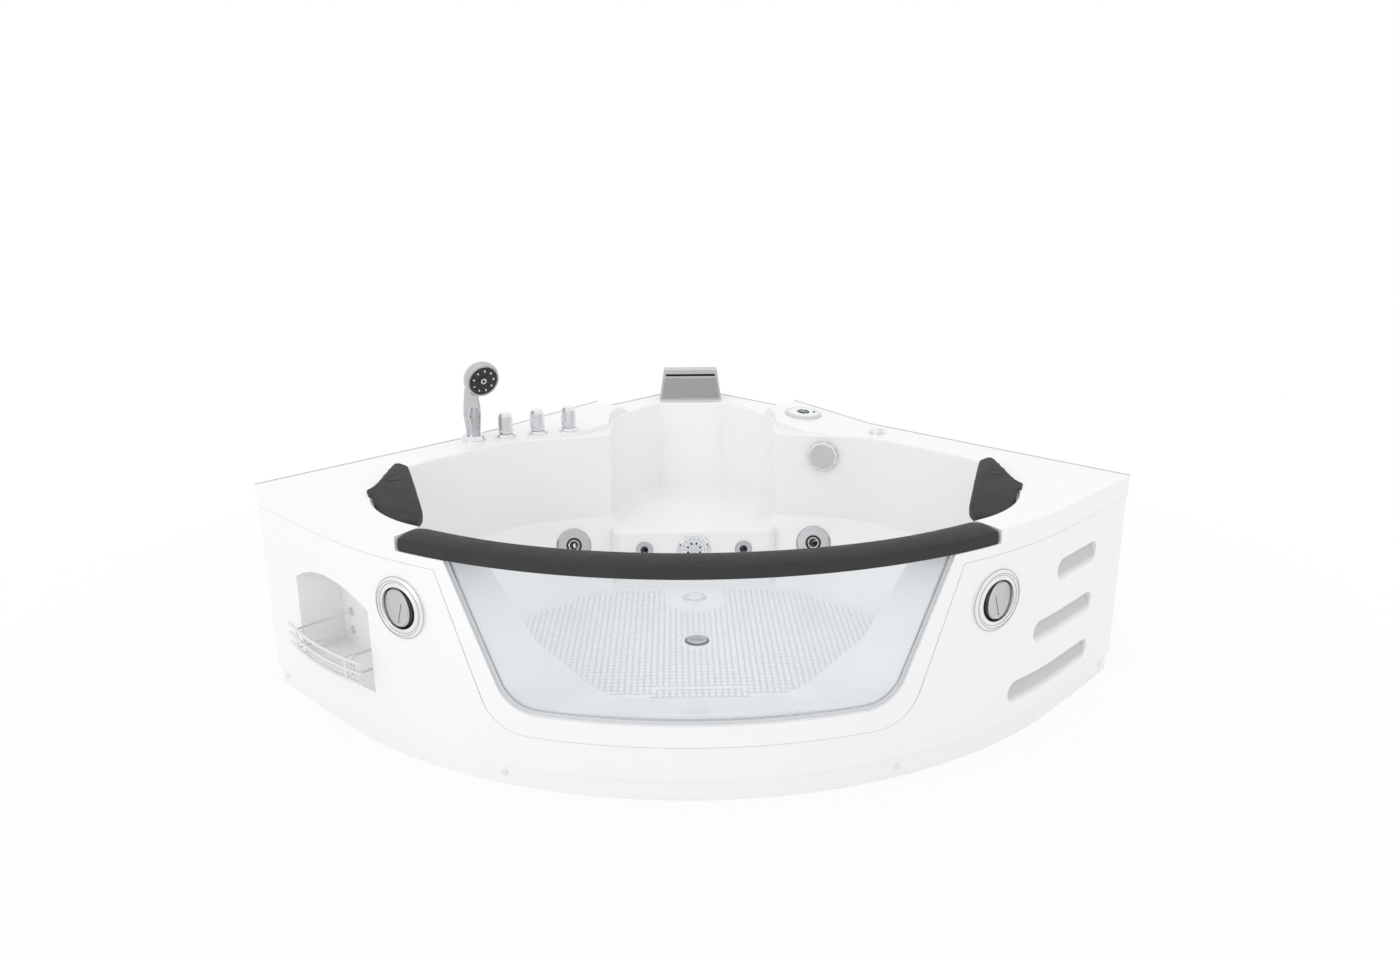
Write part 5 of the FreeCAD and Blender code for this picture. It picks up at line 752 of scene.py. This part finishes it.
bar_skin = bmesh.new()
section = pad_section()
ends = [(PAD_HALF_ANGLE - along / FRONT_RADIUS, shrink) for along, shrink in PAD_ENDS]
inner_end = ends[-1][0]
turns = [(-angle, shrink) for angle, shrink in ends]
turns += [(inner_end * (2.0 * i / PAD_STEPS - 1.0), 0.0) for i in range(1, PAD_STEPS)]
turns += [(angle, shrink) for angle, shrink in reversed(ends)]
rings = [pad_ring(bar_skin, section, angle, shrink) for angle, shrink in turns]
bridge(bar_skin, rings)
bar_skin.faces.new(rings[0])
bar_skin.faces.new(rings[-1])
bar_mesh = made(bar_skin, "rail_pad_foam")
window_bar = foam_piece("rail_pad", bar_mesh, PAD_CAP, PAD_EDGE_ANGLE)
print("window bar:", len(window_bar.data.polygons), "faces")

# %% [markdown]
# A headrest has a thin tip and no simple section, so its skin is remeshed into small even quads first.
# Remeshing blunts the tip, so it is drawn out again. A shallow round button is pressed into the skin
# near its top.

# %% Headrests
PILLOW_VOXEL = 2.4 * MM
PILLOW_CAP = 1.6 * MM
PILLOW_EDGE_ANGLE = 180.0
TIP_REACH = 60.0 * MM
TIP_EDGE = 8.0 * MM
TIP_PULL = 14.0 * MM
BUTTON_SHARE = (0.25, 0.655)
BUTTON_RADIUS = 19.0 * MM
BUTTON_PROFILE = ((0.0, 0.4), (0.8, 0.6), (0.94, 1.0), (1.0, 0.2), (1.0, -1.5), (0.0, -1.5))


def even_skin(node, voxel):
    """The node's form, remeshed into even quads."""
    form = bmesh.new()
    form.from_mesh(frame["nodes"][node].data)
    bmesh.ops.remove_doubles(form, verts=form.verts, dist=0.02 * MM)
    holder = bpy.data.objects.new(node + "_skin", made(form, node + "_skin"))
    bpy.context.scene.collection.objects.link(holder)
    remesh = holder.modifiers.new("even", "REMESH")
    remesh.mode = "VOXEL"
    remesh.voxel_size = voxel
    calm = holder.modifiers.new("calm", "SMOOTH")
    calm.iterations = 2
    skin = bpy.data.meshes.new_from_object(holder.evaluated_get(bpy.context.evaluated_depsgraph_get()))
    bpy.data.objects.remove(holder)
    return skin


def draw_tip(skin):
    """Pull the outer tip to a point along the deck."""
    tip = max(skin.vertices, key=lambda v: abs(v.co.x)).co.copy()
    outward = math.copysign(1.0, tip.x)
    for vertex in skin.vertices:
        near = max(0.0, 1.0 - (vertex.co - tip).length / TIP_REACH) ** 2
        above = min(max((vertex.co.z - tip.z) / TIP_EDGE + 1.0, 0.0), 1.0)
        vertex.co.x += outward * TIP_PULL * near * above


def headrest(side):
    node = "pillow_" + side
    skin = even_skin(node, PILLOW_VOXEL)
    draw_tip(skin)
    piece = foam_piece(node, skin, PILLOW_CAP, PILLOW_EDGE_ANGLE)
    finer = piece.modifiers.new("finer", "SUBSURF")
    finer.levels = finer.render_levels = 1
    dense = bpy.data.meshes.new_from_object(piece.evaluated_get(bpy.context.evaluated_depsgraph_get()))
    piece.modifiers.clear()
    piece.data = dense
    low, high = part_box(node)
    size = high - low
    share = BUTTON_SHARE[0] if side == "left" else 1.0 - BUTTON_SHARE[0]
    above = low + Vector((size.x * share, size.y * BUTTON_SHARE[1], size.z + 0.1))
    skin_tree = BVHTree.FromObject(piece, bpy.context.evaluated_depsgraph_get())
    spot, normal, _, _ = skin_tree.ray_cast(above, Vector((0.0, 0.0, -1.0)))
    button = [(BUTTON_RADIUS * r, h * MM) for r, h in BUTTON_PROFILE]
    turned_piece("headrest_button_" + side, button, spot, normal, "bath", "soft_grey")
    return piece


headrests = [headrest(side) for side in ("left", "right")]
print("headrests:", [len(piece.data.polygons) for piece in headrests], "faces")

# %% [markdown]
# ## Jets and suction grille
#
# Each jet is a chromed flange with a black eyeball that turns, and a bright ring round its mouth. The
# suction cover between the small jets is a fine grille of rings and spokes, so that hair can't be drawn
# in. The frame holds the flange, the eyeball and a cover with open slots. The bright rings and the
# grille are thin trim, swept or set round the jets' own axes.

# %% Jet rings
def reach(node, place, axis):
    """How far a node's points stand from an axis, and how high along it."""
    offsets = [v.co - place for v in frame["nodes"][node].data.vertices]
    heights = [offset.dot(axis) for offset in offsets]
    radii = [(offset - axis * h).length for offset, h in zip(offsets, heights)]
    return max(radii), max(heights)


RING_DROP = 3.5 * MM
RING_PROFILE = ((0.60, -1.0), (0.60, 0.7), (0.65, 1.3), (0.71, 0.9), (0.74, -1.0))

for side in ("left", "right", "seat_left", "seat_right"):
    place, axis = joint_place("jet_turn_" + side)
    rim, crest = reach("jet_nozzle_" + side, place, axis)
    face = crest - RING_DROP
    ring = [(rim * r, face + h * MM) for r, h in RING_PROFILE]
    turned_piece("jet_ring_" + side, ring, place, axis, "nozzle_" + side, "chrome")
print("jet rings: 4")

# %% Suction grille
GRILLE_RINGS = (0.34, 0.52, 0.70, 0.88)
GRILLE_WIRE = 1.3 * MM
GRILLE_DOME = (1.0 * MM, 1.6 * MM)
GRILLE_SPOKES = 8
HUB_RADIUS = 11.0 * MM
HUB_PROFILE = ((0.0, 2.4), (0.7, 1.8), (1.0, -1.0), (0.0, -1.0))

left_place, suction_axis = joint_place("jet_turn_seat_left")
right_place, _ = joint_place("jet_turn_seat_right")
suction_place = (left_place + right_place) / 2
cover_radius, cover_top = reach("suction_cover", suction_place, suction_axis)
to_suction = stand(suction_place, suction_axis)


def wire_ring(radius, height, wire):
    return [(radius + wire * math.cos(t), height + wire * math.sin(t))
            for t in (math.tau * i / 8 for i in range(8))]


grille = bmesh.new()
for share in GRILLE_RINGS:
    sink = GRILLE_DOME[0] + GRILLE_DOME[1] * share
    ring = wire_ring(cover_radius * share, cover_top - sink + GRILLE_WIRE, GRILLE_WIRE)
    sweep(grille, ring, to_suction)
hub = [(HUB_RADIUS * r, cover_top + h * MM) for r, h in HUB_PROFILE]
sweep(grille, hub, to_suction)
spoke_start = Vector((HUB_RADIUS * 0.8, 0.0, cover_top + 0.4 * MM))
spoke_length = cover_radius * 0.9 - spoke_start.x
spoke = [(0.0, 0.0), (1.6 * MM, 0.0), (1.4 * MM, spoke_length), (0.0, spoke_length)]
laid = Matrix.Translation(spoke_start) @ Matrix.Rotation(math.pi / 2, 4, "Y")
for number in range(GRILLE_SPOKES):
    turn = Matrix.Rotation(math.tau * number / GRILLE_SPOKES, 4, "Z")
    sweep(grille, spoke, to_suction @ turn @ laid, 8)
add_form("suction_grille", grille, "bath", "panel_silver")
print("grille rings", len(GRILLE_RINGS), "spokes", GRILLE_SPOKES)

# %% [markdown]
# ## Spray face of the hand shower
#
# Water leaves through nine soft tips in a circle and a mesh in the middle. The frame has the dark disc
# and nine pegs. Pale rubber tips go over the pegs, and a six-sided ring marks the middle. They turn
# with the disc, so they ride on its body.

# %% Spray tips
TIP_COUNT = 9
TIP_CIRCLE = 28.8 * MM
TIP_PEG = 2.0 * MM

head_place, head_axis = joint_place("spray_turn")
_, peg_top = reach("shower_face", head_place, head_axis)
disc_top = peg_top - TIP_PEG
pale_rubber = rubber_finish("pale_tip_rubber", 0.72, 900.0)
tip = [(0.0, peg_top + 0.3 * MM), (1.5 * MM, peg_top + 0.3 * MM), (2.6 * MM, peg_top - 0.5 * MM),
       (3.2 * MM, disc_top), (0.0, disc_top)]
star = [(r * MM, disc_top + h * MM)
        for r, h in ((5.0, 1.0), (5.2, 2.4), (7.0, 2.8), (8.6, 2.2), (8.8, 1.0))]

spray = bmesh.new()
for number in range(TIP_COUNT):
    turn = math.tau * number / TIP_COUNT
    aside = Vector((math.cos(turn), math.sin(turn), 0.0)) * TIP_CIRCLE
    sweep(spray, tip, stand(head_place, head_axis) @ Matrix.Translation(aside), 14)
sweep(spray, star, stand(head_place, head_axis), 6)
add_form("spray_tips", spray, "spray_face", "panel_silver", finish=pale_rubber)
print("spray tips:", TIP_COUNT)

# %% [markdown]
# ## Straightener in the spout's slot
#
# A wide spout only pours a clean sheet when the water is combed straight first. A black comb sits a
# little way inside the slot: a plate with a row of upright fins. A ray from the front finds how far
# back the leaning face is at the height of the slot.

# %% Spout comb
COMB_FINS = 26
COMB_SETBACK = 5.0 * MM
COMB_DEPTH = 20.0 * MM
COMB_HALF = 77.0 * MM
COMB_SPREAD = 0.98
COMB_PLATE = 1.2 * MM
FIN_HALF = 0.8 * MM
LIP_DROP = 2.0 * MM
SLOT_DROP = (12.4 * MM, 18.6 * MM)


def bar(shape, low, high):
    """A box with its long edges eased, added to a bmesh."""
    made_verts = bmesh.ops.create_cube(shape, size=1.0)["verts"]
    size, heart = Vector(high) - Vector(low), (Vector(high) + Vector(low)) / 2
    bmesh.ops.scale(shape, verts=made_verts, vec=size)
    bmesh.ops.translate(shape, verts=made_verts, vec=heart)
    edges = list({e for v in made_verts for e in v.link_edges})
    bmesh.ops.bevel(shape, geom=edges, offset=min(size) * 0.2, segments=1, affect="EDGES")


spout_tree = BVHTree.FromObject(frame["nodes"]["spout_body"], bpy.context.evaluated_depsgraph_get())
spout_low, spout_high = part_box("spout_body")
slot_high, slot_low = spout_high.z - SLOT_DROP[0], spout_high.z - SLOT_DROP[1]
ray_start = Vector((0.0, spout_low.y - 0.1, slot_low - LIP_DROP))
lip = spout_tree.ray_cast(ray_start, Vector((0.0, 1.0, 0.0)))[0]
comb_front = lip.y + COMB_SETBACK
comb = bmesh.new()
bar(comb, (-COMB_HALF, comb_front, slot_low), (COMB_HALF, comb_front + COMB_DEPTH, slot_low + COMB_PLATE))
for number in range(COMB_FINS):
    x = COMB_HALF * (2.0 * number / (COMB_FINS - 1) - 1.0) * COMB_SPREAD
    bar(comb, (x - FIN_HALF, comb_front, slot_low), (x + FIN_HALF, comb_front + COMB_DEPTH, slot_high))
add_form("spout_comb", comb, "bath", "black_plastic", 30.0)
print("comb fins:", COMB_FINS)

# %% [markdown]
# ## Control panel trim
#
# The round panel has a bright rim, a white inlay and five keys like petals round a small star. The keys
# are pieces of the frame, because they move, and each is printed as a dark petal on a paler green: the
# angle round the panel's axis tells how far a point lies from the gap between two keys. Rim, inlay, star
# and the eye of the remote sensor are trim on the same tilted axis. The panel carries no lettering.

# %% Panel trim
panel_axis = -Vector(joints["key_press_1"]["axis"]).normalized()
panel_place = middle("control_panel")
panel_radius, panel_top = reach("control_panel", panel_place, panel_axis)
panel_top -= 1.0 * MM
white_inlay = acrylic_finish("panel_inlay_white", 0.9, 0.2, 0.02)
KEYS = 5
PRINT_SPOKE = (1.9 * MM, 2.5 * MM)
PRINT_STAR = (5.5 * MM, 7.0 * MM)
KEY_RING = 18.4 * MM
RIM_SHARES = (0.80, 0.89)
INLAY_SHARE = 0.79
SENSOR_ASIDE = 32.0 * MM


def petal_finish(name, dark, pale):
    material, shader, place = start_finish(name, IOR=1.3, Roughness=0.3)
    along = middle("panel_key_1") - panel_place
    along = (along - panel_axis * along.dot(panel_axis)).normalized()
    offset = place.node("ShaderNodeVectorMath", {"operation": "SUBTRACT"}, {0: place, 1: panel_place})
    dot = {"operation": "DOT_PRODUCT"}
    x, y = (offset.node("ShaderNodeVectorMath", dot, {0: offset, 1: way}, "Value")
            for way in (along, panel_axis.cross(along)))
    sector = x.sum("FRACT", x.sum("ARCTAN2", y, x) * (KEYS / math.tau) + 0.5, 0.0)
    radius = x.sum("SQRT", x * x + y * y, 0.0)
    off_gap = (0.5 - x.sum("ABSOLUTE", sector - 0.5, 0.0)) * radius * (math.tau / KEYS)
    petal = off_gap.between(*PRINT_SPOKE) * radius.between(*PRINT_STAR)
    feed(shader, Base_Color=petal.blend(pale, dark))
    return material


petals = petal_finish("key_petals", (0.008, 0.02, 0.016, 1.0), (0.32, 0.45, 0.4, 1.0))
for number in range(1, KEYS + 1):
    frame["nodes"]["panel_key_%d" % number].data.materials[0] = petals


def flat_ring(inner, outer, low, high, ease):
    return [(inner, low), (inner, high - ease), (inner + ease, high), (outer - ease, high),
            (outer, high - ease), (outer, low)]


panel_bed = panel_top - 1.0 * MM
rim_in, rim_out = (panel_radius * share for share in RIM_SHARES)
rim_ring = flat_ring(rim_in, rim_out, panel_bed, panel_top + 1.0 * MM, 0.5 * MM)
inlay = flat_ring(KEY_RING, panel_radius * INLAY_SHARE, panel_bed, panel_top + 0.4 * MM, 0.2 * MM)
key_star = [(r * MM, panel_top + h * MM) for r, h in ((0.0, 1.6), (2.2, 1.6), (3.6, 0.0), (0.0, 0.0))]
turned_piece("panel_rim", rim_ring, panel_place, panel_axis, "bath", "chrome", 72)
turned_piece("panel_inlay", inlay, panel_place, panel_axis, "bath", "panel_silver", 72, white_inlay)
turned_piece("panel_star", key_star, panel_place, panel_axis, "bath", "panel_silver", 5, white_inlay)
sensor = [(r * MM, panel_top + h * MM) for r, h in ((0.0, 1.6), (2.8, 1.2), (3.8, 0.0), (0.0, 0.0))]
sensor_place = panel_place + Vector((SENSOR_ASIDE, 0.0, 0.0))
turned_piece("panel_sensor", sensor, sensor_place, panel_axis, "bath", "black_plastic", 20)
print("panel trim: 4 pieces,", KEYS, "printed keys")

# %% [markdown]
# ## Drain and overflow trim
#
# A dark washer seals the plug on the drain, and the overflow knob has a polished, facetted edge round
# its brushed face. The edge turns with the knob.

# %% Washer and facetted edge
WASHER = (0.6 * MM, 3.4 * MM)
WASHER_RISE = 1.6 * MM
EDGE_PROFILE = ((0.84, -0.6), (0.86, 0.5), (0.93, 0.3), (1.0, -3.4), (0.97, -4.0))

plug_radius, _ = reach("drain_plug", middle("drain_plug"), Vector((0.0, 0.0, 1.0)))
washer_place = Vector((drain_place.x, drain_place.y, well_floor + WASHER_RISE))
washer = flat_ring(plug_radius + WASHER[0], plug_radius + WASHER[1], 0.0, WASHER_RISE, 0.4 * MM)
turned_piece("plug_washer", washer, washer_place, Vector((0.0, 0.0, 1.0)), "bath",
             "black_plastic", 64)

knob_place, knob_axis = joint_place("overflow_turn")
knob_radius, knob_top = reach("overflow_knob", knob_place, knob_axis)
edge = [(knob_radius * r, knob_top + h * MM) for r, h in EDGE_PROFILE]
turned_piece("overflow_edge", edge, knob_place, knob_axis, "overflow_handle", "chrome", 10)
print("washer and edge")

# %% [markdown]
# ## Lamp eyes
#
# Each apron lamp is a ball that swivels in its bezel. Only its front is satin. A thin black band on the
# ball's side is painted shade: it stands in for the shaded groove round the ball, which shows as a dark
# crescent when the lamp is turned away. A thin rib and a pivot screw mark the flap on its face, and
# fine rings run round the bezel.

# %% Eye bands, ribs and screws
BALL_RADIUS = 47.0 * MM
BAND_SKIN = 0.15 * MM
BAND_DROP = 5.0 * MM
BAND_STEP = 4.5 * MM
BAND_STEPS = 8
SCREW_PROFILE = ((0.0, 0.9), (1.6, 0.8), (2.3, 0.0), (2.3, -0.6), (0.0, -0.6))
SCREW_SPOT = Vector((6.0, -30.0)) * MM
RIB_SPOT = Vector((22.0, 16.0)) * MM
RIB_HALF = 0.9 * MM
BEZEL_LINES = ((57.0, 5.0), (62.0, 7.0), (69.4, 2.4))
BEZEL_WIRE = 0.7 * MM
PIVOT_DEPTH = 16.0 * MM


def facing(node, outward):
    """The direction of the largest flat stretch of a node that looks about outward."""
    areas = {}
    for polygon in frame["nodes"][node].data.polygons:
        if polygon.normal.dot(outward) > 0.7:
            key = tuple(round(c, 3) for c in polygon.normal)
            areas[key] = areas.get(key, 0.0) + polygon.area
    return Vector(max(areas, key=areas.get)).normalized()


for side in ("left", "right"):
    heart, _ = joint_place("eye_swivel_" + side)
    out = Vector((heart.x, heart.y - FRONT_CENTRE, 0.0)).normalized()
    to_bezel = stand(heart + out * PIVOT_DEPTH, out)
    lines = bmesh.new()
    for radius, height in BEZEL_LINES:
        sweep(lines, wire_ring(radius * MM, height * MM, BEZEL_WIRE), to_bezel, 72)
    add_form("bezel_lines_" + side, lines, "bath", "satin_steel")
    look = facing("lamp_eye_" + side, Vector((heart.x, heart.y, 0.0)).normalized())
    _, flat = reach("lamp_eye_" + side, heart, look)
    # The black band on the ball's side is painted shade for the groove round the ball.
    outer, inner = BALL_RADIUS + BAND_SKIN, BALL_RADIUS - 1.0 * MM
    heights = [flat - BAND_DROP - step * BAND_STEP for step in range(BAND_STEPS)]
    band = [(math.sqrt(outer ** 2 - h ** 2), h) for h in heights]
    band += [(math.sqrt(inner ** 2 - h ** 2), h) for h in reversed(heights)]
    turned_piece("eye_shade_band_" + side, band, heart, look, "eye_" + side, "black_plastic", 64)
    upright = (Vector((0.0, 0.0, 1.0)) - look * look.z).normalized()
    inward = upright.cross(look) * (1.0 if side == "left" else -1.0)
    pivot = heart + look * flat + upright * SCREW_SPOT.y + inward * SCREW_SPOT.x
    screw = [(r * MM, h * MM) for r, h in SCREW_PROFILE]
    turned_piece("eye_screw_" + side, screw, pivot, look, "eye_" + side, "motor_grey", 20)
    rib_end = heart + look * flat + upright * RIB_SPOT.y + inward * RIB_SPOT.x
    course = rib_end - pivot
    rib = [(0.0, 0.0), (RIB_HALF, 0.5 * MM), (RIB_HALF, course.length), (0.0, course.length)]
    turned_piece("eye_rib_" + side, rib, pivot, course.normalized(), "eye_" + side,
                 "motor_grey", 10)
print("eye trim on both lamps")

# %% [markdown]
# ## Louvres
#
# The three vents in the right end of the apron are scoops that run out at their lower edge. A thin matt
# skin lies on each sloping floor, found by its direction: it looks out and a little up, as nothing else
# there does. Its grey is painted shade, darkest under the upper edge and fading out at the lower edge.

# %% Louvre skins of painted shade
VENT_PITCH = 127.0 * MM
VENT_FOOT = 88.0 * MM
SLOPE = (0.12, 0.5)
LOOKS_RIGHT = 0.3
RIGHT_END = 0.5
SKIN_LIFT = 0.3 * MM


# Painted shade: grey over each scoop, fading to white just above the foot of each vent.
def vent_shade_finish(name, grey, white):
    material, shader, place = start_finish(name, IOR=1.5)
    height = place.node("ShaderNodeSeparateXYZ", None, {"Vector": place}, "Z")
    rise = height.sum("FRACT", (height - VENT_FOOT) * (1.0 / VENT_PITCH), 0.0)
    fine = place.noise(500.0, 3.0, 0.6)
    feed(shader,
         Base_Color=rise.between(0.03, 0.14).blend((white, white, white, 1.0),
                                                   (grey, grey, grey, 1.0)),
         Roughness=0.5 + 0.15 * fine,
         Normal=relief(fine, 0.0002, 0.4))
    return material


vents = bmesh.new()
apron = frame["nodes"]["apron_panel"].data
for polygon in apron.polygons:
    out = polygon.normal.x > LOOKS_RIGHT and SLOPE[0] < polygon.normal.z < SLOPE[1]
    if out and polygon.center.x > RIGHT_END:
        corners = [apron.vertices[i].co + polygon.normal * SKIN_LIFT for i in polygon.vertices]
        vents.faces.new([vents.verts.new(corner) for corner in corners])
bmesh.ops.remove_doubles(vents, verts=vents.verts, dist=0.2 * MM)
vent_faces = len(vents.faces)
# The skins' grey is painted shade inside the scoops.
vent_painted_shade = vent_shade_finish("vent_painted_shade", 0.62, 0.9)
add_form("louvre_shade_skins", vents, "bath", "acrylic", finish=vent_painted_shade)
print("louvre skins:", vent_faces, "faces")

# %% [markdown]
# ## Grey bead of painted shade at the walls
#
# Where the deck meets the two walls its upper edge carries a thin grey bead. Its grey is painted shade,
# which draws the faint line of the shaded edge round the back of the bath. It follows the basin's topmost
# points on each wall plane, raised wedges included, so a row of points sorted along the wall and a small
# square section make it.

# %% Wall bead
BEAD = 1.6 * MM
BEAD_STEP = 2.0 * MM
DECK_LOW = 520.0 * MM
WALL_NEAR = 0.1 * MM

bead = bmesh.new()
shell = [corner.co for corner in frame["nodes"]["basin_shell"].data.vertices]
for side in (-1.0, 1.0):
    wall = Vector((side, 1.0, 0.0)).normalized()
    along = Vector((side, -1.0, 0.0)).normalized()
    face = max(point.dot(wall) for point in shell)
    tops = {}
    for point in sorted(shell, key=lambda corner: corner.z):
        if point.z > DECK_LOW and face - point.dot(wall) < WALL_NEAR:
            tops[round(point.dot(along) / BEAD_STEP)] = point
    line = [tops[place] for place in sorted(tops)]
    rings = []
    for point in line:
        inner = point - wall * BEAD
        rim = [point, inner, inner + Vector((0.0, 0.0, BEAD)), point + Vector((0.0, 0.0, BEAD))]
        rings.append([bead.verts.new(corner) for corner in rim])
    bridge(bead, rings)
    bead.faces.new(rings[0])
    bead.faces.new(rings[-1])
    print("wall bead:", len(line), "points up to", round(max(point.z for point in line), 4), "m")
# The bead's grey is painted shade for the outline of the deck's back edges.
bead_painted_shade = rubber_finish("bead_painted_shade", 0.62, 900.0)
add_form("wall_shade_bead", bead, "bath", "acrylic", finish=bead_painted_shade)
